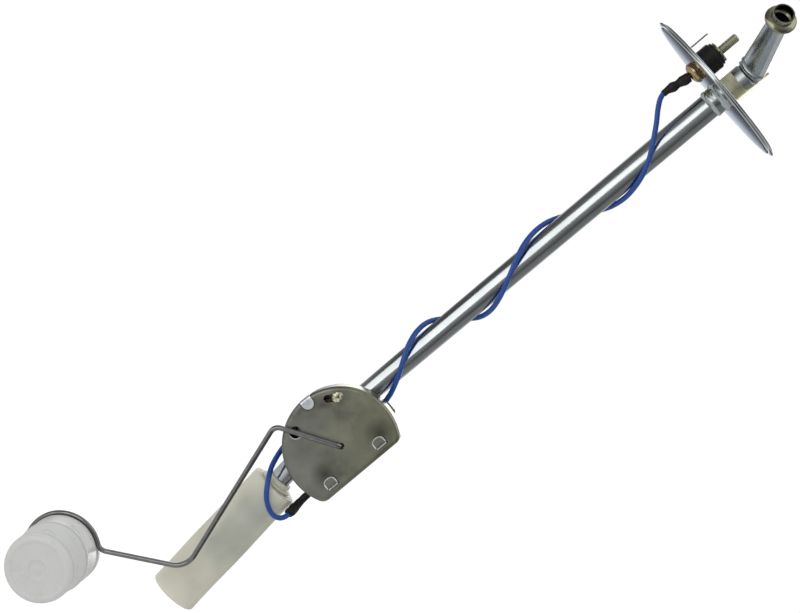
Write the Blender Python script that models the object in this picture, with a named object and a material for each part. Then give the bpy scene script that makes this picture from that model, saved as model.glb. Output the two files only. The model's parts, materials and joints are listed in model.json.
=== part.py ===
"""Fuel level sender: pickup tube, mounting flange, float arm and resistance housing.

Frame: metres, +Z up. The origin is the centre of the flange's rim face, the face
that seats on the tank. The pickup tube hangs down along -Z and the housing cover
faces -Y. The float arm turns about a horizontal axis through the housing.
"""

import math

import bmesh
import bpy
from mathutils import Matrix, Vector

MM = 0.001

# Clearance between pieces that touch on the real sender
GAP = 0.3 * MM

# Mounting flange, a pressed disc whose middle stands below its rim
FLANGE_RADIUS = 38.2 * MM
FLANGE_SHEET = 1.1 * MM
FLANGE_EDGE = 0.3 * MM
DISH_RADIUS = 36.2 * MM
DISH_DEPTH = 1.0 * MM
DISH_BEND = 0.5 * MM

# Pickup tube, one length of steel tube bent at both ends
TUBE_X = 3.6 * MM
TUBE_RADIUS = 4.7625 * MM
TUBE_WALL = 0.71 * MM
TUBE_BEND_Z = -221.0 * MM
TUBE_BEND_RADIUS = 60.0 * MM
TUBE_TILT = math.radians(6.6)
TUBE_TAIL = 50.0 * MM
OUTLET_CORNER_Z = 15.1 * MM
OUTLET_LENGTH = 48.5 * MM
OUTLET_RISE = math.radians(29.3)
OUTLET_SWING = math.radians(14.0)
OUTLET_BEND_RADIUS = 6.5 * MM
OUTLET_SWELL = 0.09
WRINKLES = 3
WRINKLE_DEPTH = 0.45 * MM
BEAD_FROM_MOUTH = 4.8 * MM
BEAD_LENGTH = 3.6 * MM
BEAD_RADIUS = 7.0 * MM

# Braze fillet that joins the tube to the flange
FILLET_TOP_RADIUS = 7.2 * MM
FILLET_BOTTOM_RADIUS = 5.5 * MM
FILLET_HEIGHT = 6.0 * MM

# Sheet steel brace beside the tube on top of the flange
BRACE_SHEET = 1.0 * MM
BRACE_FRONT_LEFT = 5.8 * MM
BRACE_FRONT_HEIGHT = 8.8 * MM
BRACE_RISE_FROM_FRONT = 2.6 * MM
BRACE_TIP_HEIGHT = 21.7 * MM
BRACE_TIP_FROM_RISE = 2.75 * MM
BRACE_SHOULDER = (6.05 * MM, 12.5 * MM)
BRACE_BACK_HEIGHT = 7.4 * MM
BRACE_DEPTH = 11.0 * MM
BRACE_BEND_RADIUS = 5.0 * MM
BRACE_FLARE = math.radians(9.0)

# Earth tab welded on the flange
EARTH_TAB_X = -21.0 * MM
EARTH_TAB_Y = 0.0 * MM
EARTH_TAB_WIDTH = 6.3 * MM
EARTH_TAB_SHEET = 0.8 * MM
EARTH_TAB_HEIGHT = 11.9 * MM
EARTH_TAB_BEND = 1.2 * MM
EARTH_TAB_FOOT = 4.8 * MM

# Insulated terminal through the flange
TERMINAL_X = -11.7 * MM
TERMINAL_Y = -4.0 * MM
STUD_RADIUS = 2.0 * MM
STUD_TOP = 21.4 * MM
STUD_CHAMFER = 0.5 * MM
STUD_HEAD_RADIUS = 5.0 * MM
STUD_HEAD_HEIGHT = 3.2 * MM
STUD_STEM_RADIUS = 0.9 * MM
STUD_STEM_LENGTH = 1.4 * MM
INSULATOR_RADIUS = 6.2 * MM
INSULATOR_HEIGHT = 8.8 * MM
INSULATOR_LIP_RADIUS = 5.5 * MM
INSULATOR_LIP_HEIGHT = 1.3 * MM
INSULATOR_NECK_RADIUS = 3.7 * MM
UNDER_WASHER_RADIUS = 4.7 * MM
UNDER_WASHER_THICKNESS = 0.4 * MM
TOP_WASHER_RADIUS = 4.9 * MM
TOP_WASHER_THICKNESS = 0.9 * MM
TOP_WASHER_TEETH = 10
TOP_WASHER_TOOTH = 0.7 * MM

# Insulated lead between the flange terminal and the housing
LEAD_RADIUS = 1.2 * MM
LEAD_SPACING = 5.0 * MM
SLEEVE_WALL = 0.5 * MM
SLEEVE_BULGE = 0.55 * MM
SLEEVE_SPACING = 1.8 * MM
UPPER_SLEEVE_LENGTH = 14.0 * MM
LOWER_SLEEVE_LENGTH = 16.0 * MM

# Housing: a D shaped cover on a flat base plate, centred on the arm's pivot
PIVOT_X = 13.7 * MM
PIVOT_Z = -225.6 * MM
HOUSING_RADIUS = 26.5 * MM
HOUSING_FLAT = 14.7 * MM
HOUSING_CORNER = 4.5 * MM
PLATE_THICKNESS = 1.2 * MM
COVER_DEPTH = 10.5 * MM
COVER_SHEET = 0.9 * MM
COVER_EDGE = 2.0 * MM

# Tabs of the base plate that hold the cover
TAB_SHEET = 1.0 * MM
TAB_WIDTH = 5.6 * MM
TAB_REACH = 4.0 * MM
TAB_BEND = 0.9 * MM
TAB_CORNER = 2.0 * MM
TAB_FROM_PIVOT = 14.0 * MM
TAB_ROOT = 11.1 * MM
SIDE_TAB_ANGLE = math.radians(178.0)
SIDE_TAB_REACH = 5.0 * MM
SIDE_TAB_ROOT = HOUSING_RADIUS - TAB_SHEET / 2

# Holes in the cover
SLOT_ANGLE = math.radians(149.6)
SLOT_FROM_PIVOT = HOUSING_RADIUS - 4.9 * MM
SLOT_LENGTH = 8.0 * MM
SLOT_WIDTH = 3.4 * MM
ROUND_HOLE_ANGLE = math.radians(213.5)
ROUND_HOLE_FROM_PIVOT = HOUSING_RADIUS - 5.5 * MM
ROUND_HOLE_RADIUS = 2.7 * MM
SOLDER_HEIGHT = 1.1 * MM
SOLDER_RIM = 0.45

# Straps that hold the base plate on the tube
STRAP_SHEET = 1.0 * MM
STRAP_LENGTH = 8.0 * MM
STRAP_FOOT = 3.4 * MM
UPPER_STRAP_Z = PIVOT_Z + 0.42 * HOUSING_RADIUS
LOWER_STRAP_TAIL = TUBE_BEND_Z - PIVOT_Z + 0.543 * HOUSING_RADIUS

# Float arm, one length of spring steel wire
WIRE_RADIUS = 1.2 * MM
ARM_LIFT = 0.6 * MM
SHAFT_TAIL = 3.6 * MM
ARM_ELBOW = (-25.7 * MM, -16.6 * MM)
ARM_KNEE = (-2.7 * MM, -87.8 * MM)
ARM_SHAFT_BEND = 2.6 * MM
ARM_ELBOW_BEND = 4.0 * MM
ARM_KNEE_BEND = 9.5 * MM
RING_CENTRE = (-44.4 * MM, -125.8 * MM)
RING_RADIUS = 16.9 * MM
RING_START = math.radians(62.0)
RING_SWEEP = math.radians(305.0)
RING_LEAD_IN = 3.2 * MM
RING_TILT = math.radians(6.2)
ARM_TRAVEL = math.radians(80.0)

# Float, a hollow moulded plastic drum held in the arm's ring
FLOAT_RADIUS = 16.4 * MM
FLOAT_FRONT_RADIUS = 15.5 * MM
FLOAT_BACK = 4.4 * MM
FLOAT_LENGTH = 37.5 * MM
FLOAT_ROUND = 4.5 * MM
FLOAT_GROOVE_WIDTH = 3.2 * MM
FLOAT_SEAM = 17.5 * MM
FLOAT_SEAM_HEIGHT = 0.35 * MM
FLOAT_DIMPLE_RADIUS = 4.5 * MM
FLOAT_DIMPLE_DEPTH = 0.6 * MM

# Pivot bearing and retainer
BUSH_RADIUS = 2.6 * MM
BUSH_FLANGE_RADIUS = 3.8 * MM
BUSH_FLANGE = 0.8 * MM
RETAINER_RADIUS = 3.0 * MM
RETAINER_THICKNESS = 0.7 * MM

# Resistance element inside the housing
CARD_RADIUS = HOUSING_RADIUS - 6.9 * MM
CARD_THICKNESS = 1.2 * MM
CARD_HEIGHT = 4.4 * MM
CARD_START = math.radians(98.0)
CARD_END = math.radians(202.0)
WINDING_START = math.radians(103.0)
WINDING_END = math.radians(197.0)
WINDING_THICKNESS = 0.55 * MM
WINDING_HEIGHT = 3.4 * MM
WINDING_TURNS = 28
WINDING_RIDGE = 0.12 * MM

# Wiper that rides on the arm's shaft
WIPER_ANGLE = math.radians(190.0)
WIPER_SHEET = 0.5 * MM
WIPER_ROOT_WIDTH = 5.0 * MM
WIPER_TIP_WIDTH = 2.4 * MM
HUB_RADIUS = 3.9 * MM
HUB_NECK_RADIUS = 2.7 * MM
HUB_HEIGHT = 2.6 * MM
SPRING_RADIUS = 4.2 * MM
SPRING_THICKNESS = 0.5 * MM
SPRING_WAVE = 0.35 * MM

# Terminal of the housing
RIVET_X = 7.4 * MM
RIVET_Y = 6.9 * MM - HOUSING_RADIUS
RIVET_RADIUS = 1.4 * MM
RIVET_HEAD_RADIUS = 2.5 * MM
RIVET_HEAD_HEIGHT = 0.9 * MM
BOARD_THICKNESS = 1.2 * MM
BOARD_LEFT = RIVET_X - 3.4 * MM
BOARD_RIGHT = RIVET_X + 3.5 * MM
BOARD_BOTTOM = RIVET_Y - 5.0 * MM
BOARD_TOP = HOUSING_RADIUS + 0.4 * MM
BOARD_EAR_LEFT = -1.2 * MM
BOARD_EAR_RIGHT = 3.5 * MM
BOARD_EAR_BOTTOM = BOARD_TOP - 5.0 * MM
LUG_WIDTH = 4.6 * MM
LUG_TIP_WIDTH = 2.0 * MM
LUG_SHEET = 0.6 * MM
LUG_BOTTOM = RIVET_Y - 8.8 * MM
LINK_WIRE_RADIUS = 0.4 * MM

# Strainer over the tube's lower end
STRAINER_RADIUS = 11.2 * MM
STRAINER_LENGTH = 68.5 * MM
STRAINER_WALL = 0.8 * MM
STRAINER_ROUND = 1.0 * MM
STRAINER_DOME = 0.8 * MM
STRAINER_FROM_BEND = 41.8 * MM
COLLAR_WALL = 1.1 * MM
COLLAR_FLANGE = 1.3 * MM
COLLAR_FLANGE_THICKNESS = 1.0 * MM
COLLAR_EDGE = 0.4 * MM
COLLAR_ABOVE = 3.6 * MM
COLLAR_BELOW = 4.5 * MM

# Levels of the terminal and the flange along Z
FLANGE_TOP = FLANGE_SHEET - DISH_DEPTH
FLANGE_UNDER = -DISH_DEPTH
UNDER_WASHER_BOTTOM = FLANGE_UNDER - GAP - UNDER_WASHER_THICKNESS
HEAD_TOP = UNDER_WASHER_BOTTOM - GAP
HEAD_BOTTOM = HEAD_TOP - STUD_HEAD_HEIGHT

# Levels in the housing, measured from the tube's centre plane towards -Y
PLATE_BACK = TUBE_RADIUS + GAP
PLATE_FRONT = PLATE_BACK + PLATE_THICKNESS
COVER_RIM = PLATE_FRONT + GAP
COVER_FACE = COVER_RIM + COVER_DEPTH
COVER_INSIDE = COVER_FACE - COVER_SHEET
ARM_LEVEL = COVER_FACE + ARM_LIFT + WIRE_RADIUS
CARD_LEVEL = PLATE_FRONT + GAP
WINDING_TOP = CARD_LEVEL + CARD_HEIGHT + GAP + WINDING_THICKNESS
WIPER_LEVEL = WINDING_TOP + WINDING_RIDGE + GAP
BOARD_FRONT = PLATE_BACK - GAP
BOARD_BACK = BOARD_FRONT - BOARD_THICKNESS
LUG_FRONT = BOARD_BACK - GAP
LUG_BACK = LUG_FRONT - LUG_SHEET

# Route of the lead in millimetres, chosen by hand: down from the flange terminal with two
# and a half turns round the tube, and then the loop, measured from the lug's tip
LEAD_ROUTE_MM = (
    (-11.9, -4.0, -6.9), (-12.7, -4.0, -12.0), (-13.5, -4.0, -17.3), (-12.6, -4.3, -21.0),
    (-9.6, -5.2, -25.0), (-5.8, -6.4, -29.0), (-1.9, -7.2, -33.6), (1.8, -7.5, -38.2),
    (5.2, -7.1, -43.0), (8.2, -5.3, -49.0), (10.1, -2.4, -55.5), (10.7, 0.8, -61.5), (9.7, 4.0, -68.0),
    (6.9, 6.4, -74.5), (2.8, 7.0, -81.0), (-0.9, 5.4, -87.5), (-3.2, 2.2, -94.5), (-3.4, -1.2, -101.5),
    (-1.8, -4.6, -108.5), (1.4, -6.8, -115.5), (5.2, -7.0, -123.0), (8.7, -5.0, -130.5),
    (10.6, -1.3, -137.5), (9.8, 3.6, -144.0), (5.4, 6.9, -150.5), (0.4, 6.3, -156.5),
    (-3.1, 2.4, -162.5), (-3.2, -2.0, -169.0), (-0.6, -5.7, -176.0), (3.8, -7.1, -183.0),
    (7.9, -5.6, -190.0), (11.0, -2.0, -197.5), (12.0, 2.4, -206.0), (8.8, 7.2, -215.5),
    (2.6, 8.7, -225.0), (-2.2, 6.6, -235.0), (-2.9, 2.6, -243.4), (-1.5, -3.2, -250.6),
    (1.0, -8.4, -256.6),
)
LEAD_LOOP_MM = (
    (-17.1, -9.04, -6.4), (-13.2, -11.14, -10.6), (-9.1, -11.04, -13.8), (-4.5, -9.64, -15.6),
    (-0.8, -7.64, -15.2), (1.0, -5.64, -12.8), (0.9, -3.04, -9.2), (0.3, -0.74, -4.8),
    (0.0, 0.21, -0.4),
)


def clear_scene():
    """Remove every object that a new Blender file holds."""
    for item in list(bpy.data.objects):
        bpy.data.objects.remove(item, do_unlink=True)


def make_material(name, colour, roughness, metallic):
    """Return a Principled material of one colour."""
    mat = bpy.data.materials.new(name)
    mat.use_nodes = True
    shader = mat.node_tree.nodes["Principled BSDF"]
    shader.inputs["Base Color"].default_value = (*colour, 1.0)
    shader.inputs["Roughness"].default_value = roughness
    shader.inputs["Metallic"].default_value = metallic
    return mat


def add_object(name, data, mat=None, parent=None, location=(0.0, 0.0, 0.0), rotation=(0.0, 0.0, 0.0)):
    """Put mesh or curve data in the scene as one named object."""
    obj = bpy.data.objects.new(name, data)
    bpy.context.collection.objects.link(obj)
    obj.location = location
    obj.rotation_euler = rotation
    obj.parent = parent
    if mat is not None:
        data.materials.append(mat)
    return obj


def add_frame(name, location, rotation):
    """Add an empty that carries a group of pieces."""
    return add_object(name, None, location=location, rotation=rotation)


def finish_mesh(name, bm, smooth_angle=None):
    """Turn a bmesh into a mesh with outward faces, shaded smooth below the angle."""
    bmesh.ops.remove_doubles(bm, verts=bm.verts, dist=1e-7)
    bmesh.ops.recalc_face_normals(bm, faces=bm.faces)
    mesh = bpy.data.meshes.new(name)
    bm.to_mesh(mesh)
    bm.free()
    if smooth_angle is not None:
        mesh.shade_smooth()
        mesh.set_sharp_from_angle(angle=smooth_angle)
    return mesh


def arc(centre, radius, start, end, steps):
    """Return points on an arc in a plane, both ends included."""
    points = []
    for i in range(steps + 1):
        angle = start + (end - start) * i / steps
        points.append((centre[0] + radius * math.cos(angle), centre[1] + radius * math.sin(angle)))
    return points


def turned_mesh(name, profile, steps, closed=False):
    """Spin a profile of (radius, height) round Z; closed profiles make rings."""
    bm = bmesh.new()
    verts = [bm.verts.new((radius, 0.0, height)) for radius, height in profile]
    edges = [bm.edges.new(pair) for pair in zip(verts, verts[1:])]
    if closed:
        edges.append(bm.edges.new((verts[-1], verts[0])))
    bmesh.ops.spin(bm, geom=verts + edges, cent=(0, 0, 0), axis=(0, 0, 1), angle=2 * math.pi,
                   steps=steps, use_merge=True)
    return finish_mesh(name, bm, math.radians(35))


def plate_mesh(name, outline, bottom, top, edge=0.0, edge_segments=2):
    """Extrude an outline between two heights, with its rims bevelled."""
    bm = bmesh.new()
    face = bm.faces.new([bm.verts.new((x, y, bottom)) for x, y in outline])
    extruded = bmesh.ops.extrude_face_region(bm, geom=[face])
    moved = [item for item in extruded["geom"] if isinstance(item, bmesh.types.BMVert)]
    bmesh.ops.translate(bm, verts=moved, vec=(0, 0, top - bottom))
    if edge > 0.0:
        rims = [e for e in bm.edges if abs(e.verts[0].co.z - e.verts[1].co.z) < 1e-9]
        bmesh.ops.bevel(bm, geom=rims, offset=edge, segments=edge_segments, profile=0.5,
                        affect="EDGES", material=-1)
    return finish_mesh(name, bm, math.radians(35))


def sheet_strip_mesh(name, path, width):
    """Draw a path in XY into a strip of the given width along Z, for Solidify."""
    bm = bmesh.new()
    verts = [bm.verts.new((x, y, -width / 2)) for x, y in path]
    edges = [bm.edges.new(pair) for pair in zip(verts, verts[1:])]
    extruded = bmesh.ops.extrude_edge_only(bm, edges=edges)
    moved = [item for item in extruded["geom"] if isinstance(item, bmesh.types.BMVert)]
    bmesh.ops.translate(bm, verts=moved, vec=(0, 0, width))
    mesh = bpy.data.meshes.new(name)
    bm.to_mesh(mesh)
    bm.free()
    mesh.shade_smooth()
    mesh.set_sharp_from_angle(angle=math.radians(35))
    return mesh


def add_solidify(obj, thickness, offset=0.0):
    """Give a sheet its thickness; offset -1 grows inwards, 0 both ways."""
    mod = obj.modifiers.new("thickness", "SOLIDIFY")
    mod.thickness = thickness
    mod.offset = offset
    mod.use_even_offset = True
    return mod


def add_cut(obj, cutter, operation="DIFFERENCE"):
    """Cut one object with another, or join it, by an exact Boolean."""
    cutter.hide_render = True
    cutter.display_type = "WIRE"
    mod = obj.modifiers.new(cutter.name, "BOOLEAN")
    mod.operation = operation
    mod.solver = "EXACT"
    mod.object = cutter
    return mod


def disc_outline(centre, radius, steps):
    """Return the outline of a round hole or disc."""
    return arc(centre, radius, 0.0, 2 * math.pi * (steps - 1) / steps, steps - 1)


def slot_outline(centre, length, width, turn, steps=8):
    """Return the outline of a slot with round ends, turned in its plane."""
    half = (length - width) / 2
    right = arc((half, 0.0), width / 2, -math.pi / 2, math.pi / 2, steps)
    left = arc((-half, 0.0), width / 2, math.pi / 2, 3 * math.pi / 2, steps)
    cos, sin = math.cos(turn), math.sin(turn)
    return [(centre[0] + x * cos - y * sin, centre[1] + x * sin + y * cos) for x, y in right + left]


def housing_outline(radius, flat, corner, arc_steps=36, corner_steps=4):
    """Return the D outline: a circle cut by a flat at +X, its corners rounded."""
    centre_x = flat - corner
    centre_y = math.sqrt((radius - corner) ** 2 - centre_x ** 2)
    turn = math.atan2(centre_y, centre_x)
    upper = arc((centre_x, centre_y), corner, 0.0, turn, corner_steps)
    around = arc((0.0, 0.0), radius, turn, 2 * math.pi - turn, arc_steps)
    lower = arc((centre_x, -centre_y), corner, -turn, 0.0, corner_steps)
    return upper + around[1:-1] + lower


def rounded_path(corners, radii, steps):
    """Return a path through corner points whose bends are arcs of the given radii."""
    points = [Vector(corners[0])]
    for i in range(1, len(corners) - 1):
        here = Vector(corners[i])
        before = (Vector(corners[i - 1]) - here).normalized()
        after = (Vector(corners[i + 1]) - here).normalized()
        half = before.angle(after) / 2
        reach = radii[i - 1] / math.tan(half)
        centre = here + (before + after).normalized() * (radii[i - 1] / math.sin(half))
        first = here + before * reach - centre
        last = here + after * reach - centre
        axis = first.cross(last)
        turn = first.angle(last)
        for step in range(steps + 1):
            points.append(centre + Matrix.Rotation(turn * step / steps, 3, axis) @ first)
    points.append(Vector(corners[-1]))
    return points


def smooth_route(points, spacing):
    """Return evenly spaced points on one smooth curve through the given points."""
    knots = [Vector(p) for p in points]
    knots = [2 * knots[0] - knots[1]] + knots + [2 * knots[-1] - knots[-2]]
    dense = []
    fine = 24
    for i in range(1, len(knots) - 2):
        p0, p1, p2, p3 = knots[i - 1:i + 3]
        for step in range(fine):
            t = step / fine
            dense.append(0.5 * (2 * p1 + (p2 - p0) * t + (2 * p0 - 5 * p1 + 4 * p2 - p3) * t ** 2
                                + (3 * p1 - p0 - 3 * p2 + p3) * t ** 3))
    dense.append(knots[-2])
    return even_points(dense, spacing)


def even_points(points, spacing):
    """Return points at equal steps along a path, both of its ends kept."""
    runs = [0.0]
    for a, b in zip(points, points[1:]):
        runs.append(runs[-1] + (b - a).length)
    count = max(2, round(runs[-1] / spacing))
    result = []
    here = 0
    for i in range(count + 1):
        goal = runs[-1] * i / count
        while here < len(runs) - 2 and runs[here + 1] < goal:
            here += 1
        share = (goal - runs[here]) / (runs[here + 1] - runs[here])
        result.append(points[here].lerp(points[here + 1], share))
    return result


def path_part(points, start, end, spacing):
    """Return the part of a path between two distances from its start."""
    kept = []
    run = 0.0
    for a, b in zip(points, points[1:]):
        length = (b - a).length
        if run <= start < run + length:
            kept.append(a.lerp(b, (start - run) / length))
        if start < run + length < end:
            kept.append(b.copy())
        if run < end <= run + length + 1e-9:
            kept.append(a.lerp(b, min(1.0, (end - run) / length)))
        run += length
    return even_points(kept, spacing)


def path_length(points):
    """Return the length of a path."""
    return sum((b - a).length for a, b in zip(points, points[1:]))


def wire_curve(name, points, radius, resolution, caps=True, radii=None):
    """Return a round bar or open tube along a path."""
    curve = bpy.data.curves.new(name, "CURVE")
    curve.dimensions = "3D"
    curve.bevel_depth = radius
    curve.bevel_resolution = resolution
    curve.use_fill_caps = caps
    spline = curve.splines.new("POLY")
    spline.points.add(len(points) - 1)
    for i, point in enumerate(points):
        spline.points[i].co = (*point, 1.0)
        if radii is not None:
            spline.points[i].radius = radii[i]
    return curve


def bore_ring(name, outer, inner, bottom, top, steps):
    """Return a plain turned ring."""
    profile = [(inner, top), (outer, top), (outer, bottom), (inner, bottom)]
    return turned_mesh(name, profile, steps, closed=True)


def outlet_direction():
    """Return the direction of the outlet nipple."""
    flat = math.cos(OUTLET_RISE)
    return Vector((-flat * math.sin(OUTLET_SWING), -flat * math.cos(OUTLET_SWING), math.sin(OUTLET_RISE)))


def tail_direction():
    """Return the direction of the tube below its lower bend."""
    return Vector((math.sin(TUBE_TILT), 0.0, -math.cos(TUBE_TILT)))


def build_flange(mats):
    """Build the pressed steel disc that seats on the tank by its rim."""
    radius, edge, bend = FLANGE_RADIUS, FLANGE_EDGE, DISH_BEND
    recess = DISH_RADIUS - FLANGE_SHEET
    profile = [(0.0, FLANGE_TOP), (recess, FLANGE_TOP)]
    profile += arc((recess + bend, FLANGE_SHEET - bend), bend, math.pi, math.pi / 2, 3)
    profile += [(radius - edge, FLANGE_SHEET), (radius, FLANGE_SHEET - edge)]
    profile += [(radius, edge), (radius - edge, 0.0), (DISH_RADIUS, 0.0)]
    profile += arc((DISH_RADIUS - bend, FLANGE_UNDER + bend), bend, 0.0, -math.pi / 2, 3)
    profile += [(0.0, FLANGE_UNDER)]
    flange = add_object("mounting_flange", turned_mesh("mounting_flange", profile, 48), mats["zinc"])
    low, high = FLANGE_UNDER - GAP, FLANGE_TOP + GAP
    around_tube = disc_outline((TUBE_X, 0.0), TUBE_RADIUS + GAP, 32)
    around_neck = disc_outline((TERMINAL_X, TERMINAL_Y), INSULATOR_NECK_RADIUS + GAP, 28)
    add_cut(flange, add_object("tube_hole", plate_mesh("tube_hole", around_tube, low, high)))
    add_cut(flange, add_object("stud_hole", plate_mesh("stud_hole", around_neck, low, high)))


def build_pickup_tube(mats):
    """Build the tube: outlet with a rolled bead, tight upper bend, long run, lower bend."""
    corner = Vector((TUBE_X, 0.0, OUTLET_CORNER_Z))
    outlet = outlet_direction()
    mouth = corner + outlet * OUTLET_LENGTH
    lower = Vector((TUBE_X, 0.0, TUBE_BEND_Z))
    end = lower + tail_direction() * TUBE_TAIL
    elbow_steps = 4 * WRINKLES
    elbow = rounded_path([mouth, corner, lower], [OUTLET_BEND_RADIUS], elbow_steps)[1:-1]
    run = rounded_path([corner, lower, end], [TUBE_BEND_RADIUS], 6)[1:]
    points = [mouth]
    radii = [1.0]
    bead_steps = 8
    for i in range(bead_steps + 1):
        share = i / bead_steps
        points.append(mouth - outlet * (BEAD_FROM_MOUTH + BEAD_LENGTH * (share - 0.5)))
        swell = (BEAD_RADIUS / TUBE_RADIUS - 1.0) * math.sin(math.pi * share)
        radii.append(1.0 + swell)
    for i in range(elbow_steps + 1):
        share = i / elbow_steps
        dent = WRINKLE_DEPTH / TUBE_RADIUS * math.sin(math.pi * WRINKLES * share) ** 2
        radii.append(1.0 + OUTLET_SWELL * (1 - share) - dent)
    points += elbow + run
    radii += [1.0] * len(run)
    curve = wire_curve("pickup_tube", points, TUBE_RADIUS, 7, caps=False, radii=radii)
    tube = add_object("pickup_tube", curve, mats["zinc"])
    add_solidify(tube, TUBE_WALL, offset=-1.0)


def build_braze_fillet(mats):
    """Build the braze metal round the tube under the flange."""
    inner = TUBE_RADIUS + GAP
    top = FLANGE_UNDER - GAP
    bottom = top - FILLET_HEIGHT
    profile = [(inner, top), (FILLET_TOP_RADIUS, top), (FILLET_TOP_RADIUS, top - 0.08 * FILLET_HEIGHT)]
    for i in range(1, 5):
        share = i / 5
        radius = FILLET_BOTTOM_RADIUS + (FILLET_TOP_RADIUS - FILLET_BOTTOM_RADIUS) * (1 - share) ** 1.6
        profile.append((radius, top - FILLET_HEIGHT * (0.08 + 0.87 * share)))
    profile += [(inner + 0.35 * (FILLET_BOTTOM_RADIUS - inner), bottom), (inner, bottom)]
    mesh = turned_mesh("braze_fillet", profile, 24, closed=True)
    add_object("braze_fillet", mesh, mats["braze"], location=(TUBE_X, 0.0, 0.0))


def build_tube_brace(mats):
    """Build the folded sheet brace: a low front face and a pointed side beside the tube."""
    level = FLANGE_TOP + GAP
    reach = TUBE_RADIUS + GAP + BRACE_SHEET / 2
    front_y = -reach
    side_x = reach
    corner = arc((side_x - BRACE_BEND_RADIUS, front_y + BRACE_BEND_RADIUS), BRACE_BEND_RADIUS,
                 -math.pi / 2, -BRACE_FLARE, 8)
    back_y = front_y + BRACE_DEPTH
    back_x = corner[-1][0] + (back_y - corner[-1][1]) * math.tan(BRACE_FLARE)
    path = [(-BRACE_FRONT_LEFT, front_y)] + corner + [(back_x, back_y)]
    mesh = sheet_strip_mesh("tube_brace", path, 2 * BRACE_TIP_HEIGHT)
    brace = add_object("tube_brace", mesh, mats["zinc"], location=(TUBE_X, 0.0, level))
    add_solidify(brace, BRACE_SHEET)
    far = 4 * FLANGE_RADIUS
    rise_y = front_y + BRACE_RISE_FROM_FRONT
    keep = [(-far, 0.0), (far, 0.0), (far, BRACE_BACK_HEIGHT),
            (rise_y + BRACE_SHOULDER[0], BRACE_SHOULDER[1]),
            (rise_y + BRACE_TIP_FROM_RISE, BRACE_TIP_HEIGHT),
            (rise_y, BRACE_FRONT_HEIGHT), (-far, BRACE_FRONT_HEIGHT)]
    keep_mesh = plate_mesh("brace_side_shape", keep, -far, far)
    turn = Matrix.Rotation(math.radians(90), 4, "Z") @ Matrix.Rotation(math.radians(90), 4, "X")
    cutter = add_object("brace_side_shape", keep_mesh, location=(TUBE_X, 0.0, level),
                        rotation=turn.to_euler())
    add_cut(brace, cutter, "INTERSECT")


def build_earth_tab(mats):
    """Build the bent blade terminal that earths the flange."""
    bend = EARTH_TAB_BEND
    foot = arc((-bend, bend), bend, -math.pi / 2, 0.0, 5)
    path = [(-EARTH_TAB_FOOT, 0.0)] + foot + [(0.0, EARTH_TAB_HEIGHT)]
    mesh = sheet_strip_mesh("earth_tab", path, EARTH_TAB_WIDTH)
    level = FLANGE_TOP + GAP + EARTH_TAB_SHEET / 2
    tab = add_object("earth_tab", mesh, mats["zinc"], location=(EARTH_TAB_X, EARTH_TAB_Y, level),
                     rotation=(math.radians(90), 0.0, 0.0))
    add_solidify(tab, EARTH_TAB_SHEET)
    bevel = tab.modifiers.new("blade_edges", "BEVEL")
    bevel.width = EARTH_TAB_SHEET * 0.2
    bevel.segments = 1
    bevel.limit_method = "ANGLE"
    bevel.angle_limit = math.radians(60)


def build_terminal(mats):
    """Build the insulated stud terminal: insulator, stud, washers."""
    place = (TERMINAL_X, TERMINAL_Y, 0.0)
    bore = STUD_RADIUS + GAP
    seat = FLANGE_TOP + GAP
    top = seat + INSULATOR_HEIGHT
    lip = top + INSULATOR_LIP_HEIGHT
    neck = FLANGE_UNDER - GAP / 2
    edge = 0.5 * MM
    profile = [(bore, lip), (INSULATOR_LIP_RADIUS, lip), (INSULATOR_LIP_RADIUS, top),
               (INSULATOR_RADIUS - edge, top), (INSULATOR_RADIUS, top - edge), (INSULATOR_RADIUS, seat),
               (INSULATOR_NECK_RADIUS, seat), (INSULATOR_NECK_RADIUS, neck), (bore, neck)]
    mesh = turned_mesh("terminal_insulator", profile, 24, closed=True)
    add_object("terminal_insulator", mesh, mats["black_plastic"], location=place)

    mesh = bore_ring("fibre_washer", UNDER_WASHER_RADIUS, bore, UNDER_WASHER_BOTTOM, FLANGE_UNDER - GAP, 24)
    add_object("fibre_washer", mesh, mats["phenolic"], location=place)

    profile = [(0.0, STUD_TOP), (STUD_RADIUS - STUD_CHAMFER, STUD_TOP),
               (STUD_RADIUS, STUD_TOP - STUD_CHAMFER), (STUD_RADIUS, HEAD_TOP), (STUD_HEAD_RADIUS, HEAD_TOP)]
    for i in range(6):
        turn = math.pi / 2 * i / 6
        profile.append((STUD_STEM_RADIUS + (STUD_HEAD_RADIUS - STUD_STEM_RADIUS) * math.cos(turn),
                        HEAD_TOP - STUD_HEAD_HEIGHT * (0.15 + 0.85 * math.sin(turn))))
    profile += [(STUD_STEM_RADIUS, HEAD_BOTTOM), (STUD_STEM_RADIUS, HEAD_BOTTOM - STUD_STEM_LENGTH),
                (0.0, HEAD_BOTTOM - STUD_STEM_LENGTH)]
    add_object("terminal_stud", turned_mesh("terminal_stud", profile, 20), mats["brass"], location=place)

    outline = []
    count = TOP_WASHER_TEETH
    root = TOP_WASHER_RADIUS - TOP_WASHER_TOOTH
    for i in range(count):
        tooth = ((0.0, TOP_WASHER_RADIUS), (0.45, TOP_WASHER_RADIUS), (0.55, root), (0.9, root))
        for share, radius in tooth:
            angle = 2 * math.pi * (i + share) / count
            outline.append((radius * math.cos(angle), radius * math.sin(angle)))
    bottom = lip + GAP
    mesh = plate_mesh("lock_washer", outline, bottom, bottom + TOP_WASHER_THICKNESS)
    washer = add_object("lock_washer", mesh, mats["zinc"], location=place)
    hole = plate_mesh("lock_washer_hole", disc_outline((0.0, 0.0), bore, 24), bottom - GAP,
                      bottom + TOP_WASHER_THICKNESS + GAP)
    add_cut(washer, add_object("lock_washer_hole", hole, location=place))


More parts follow.
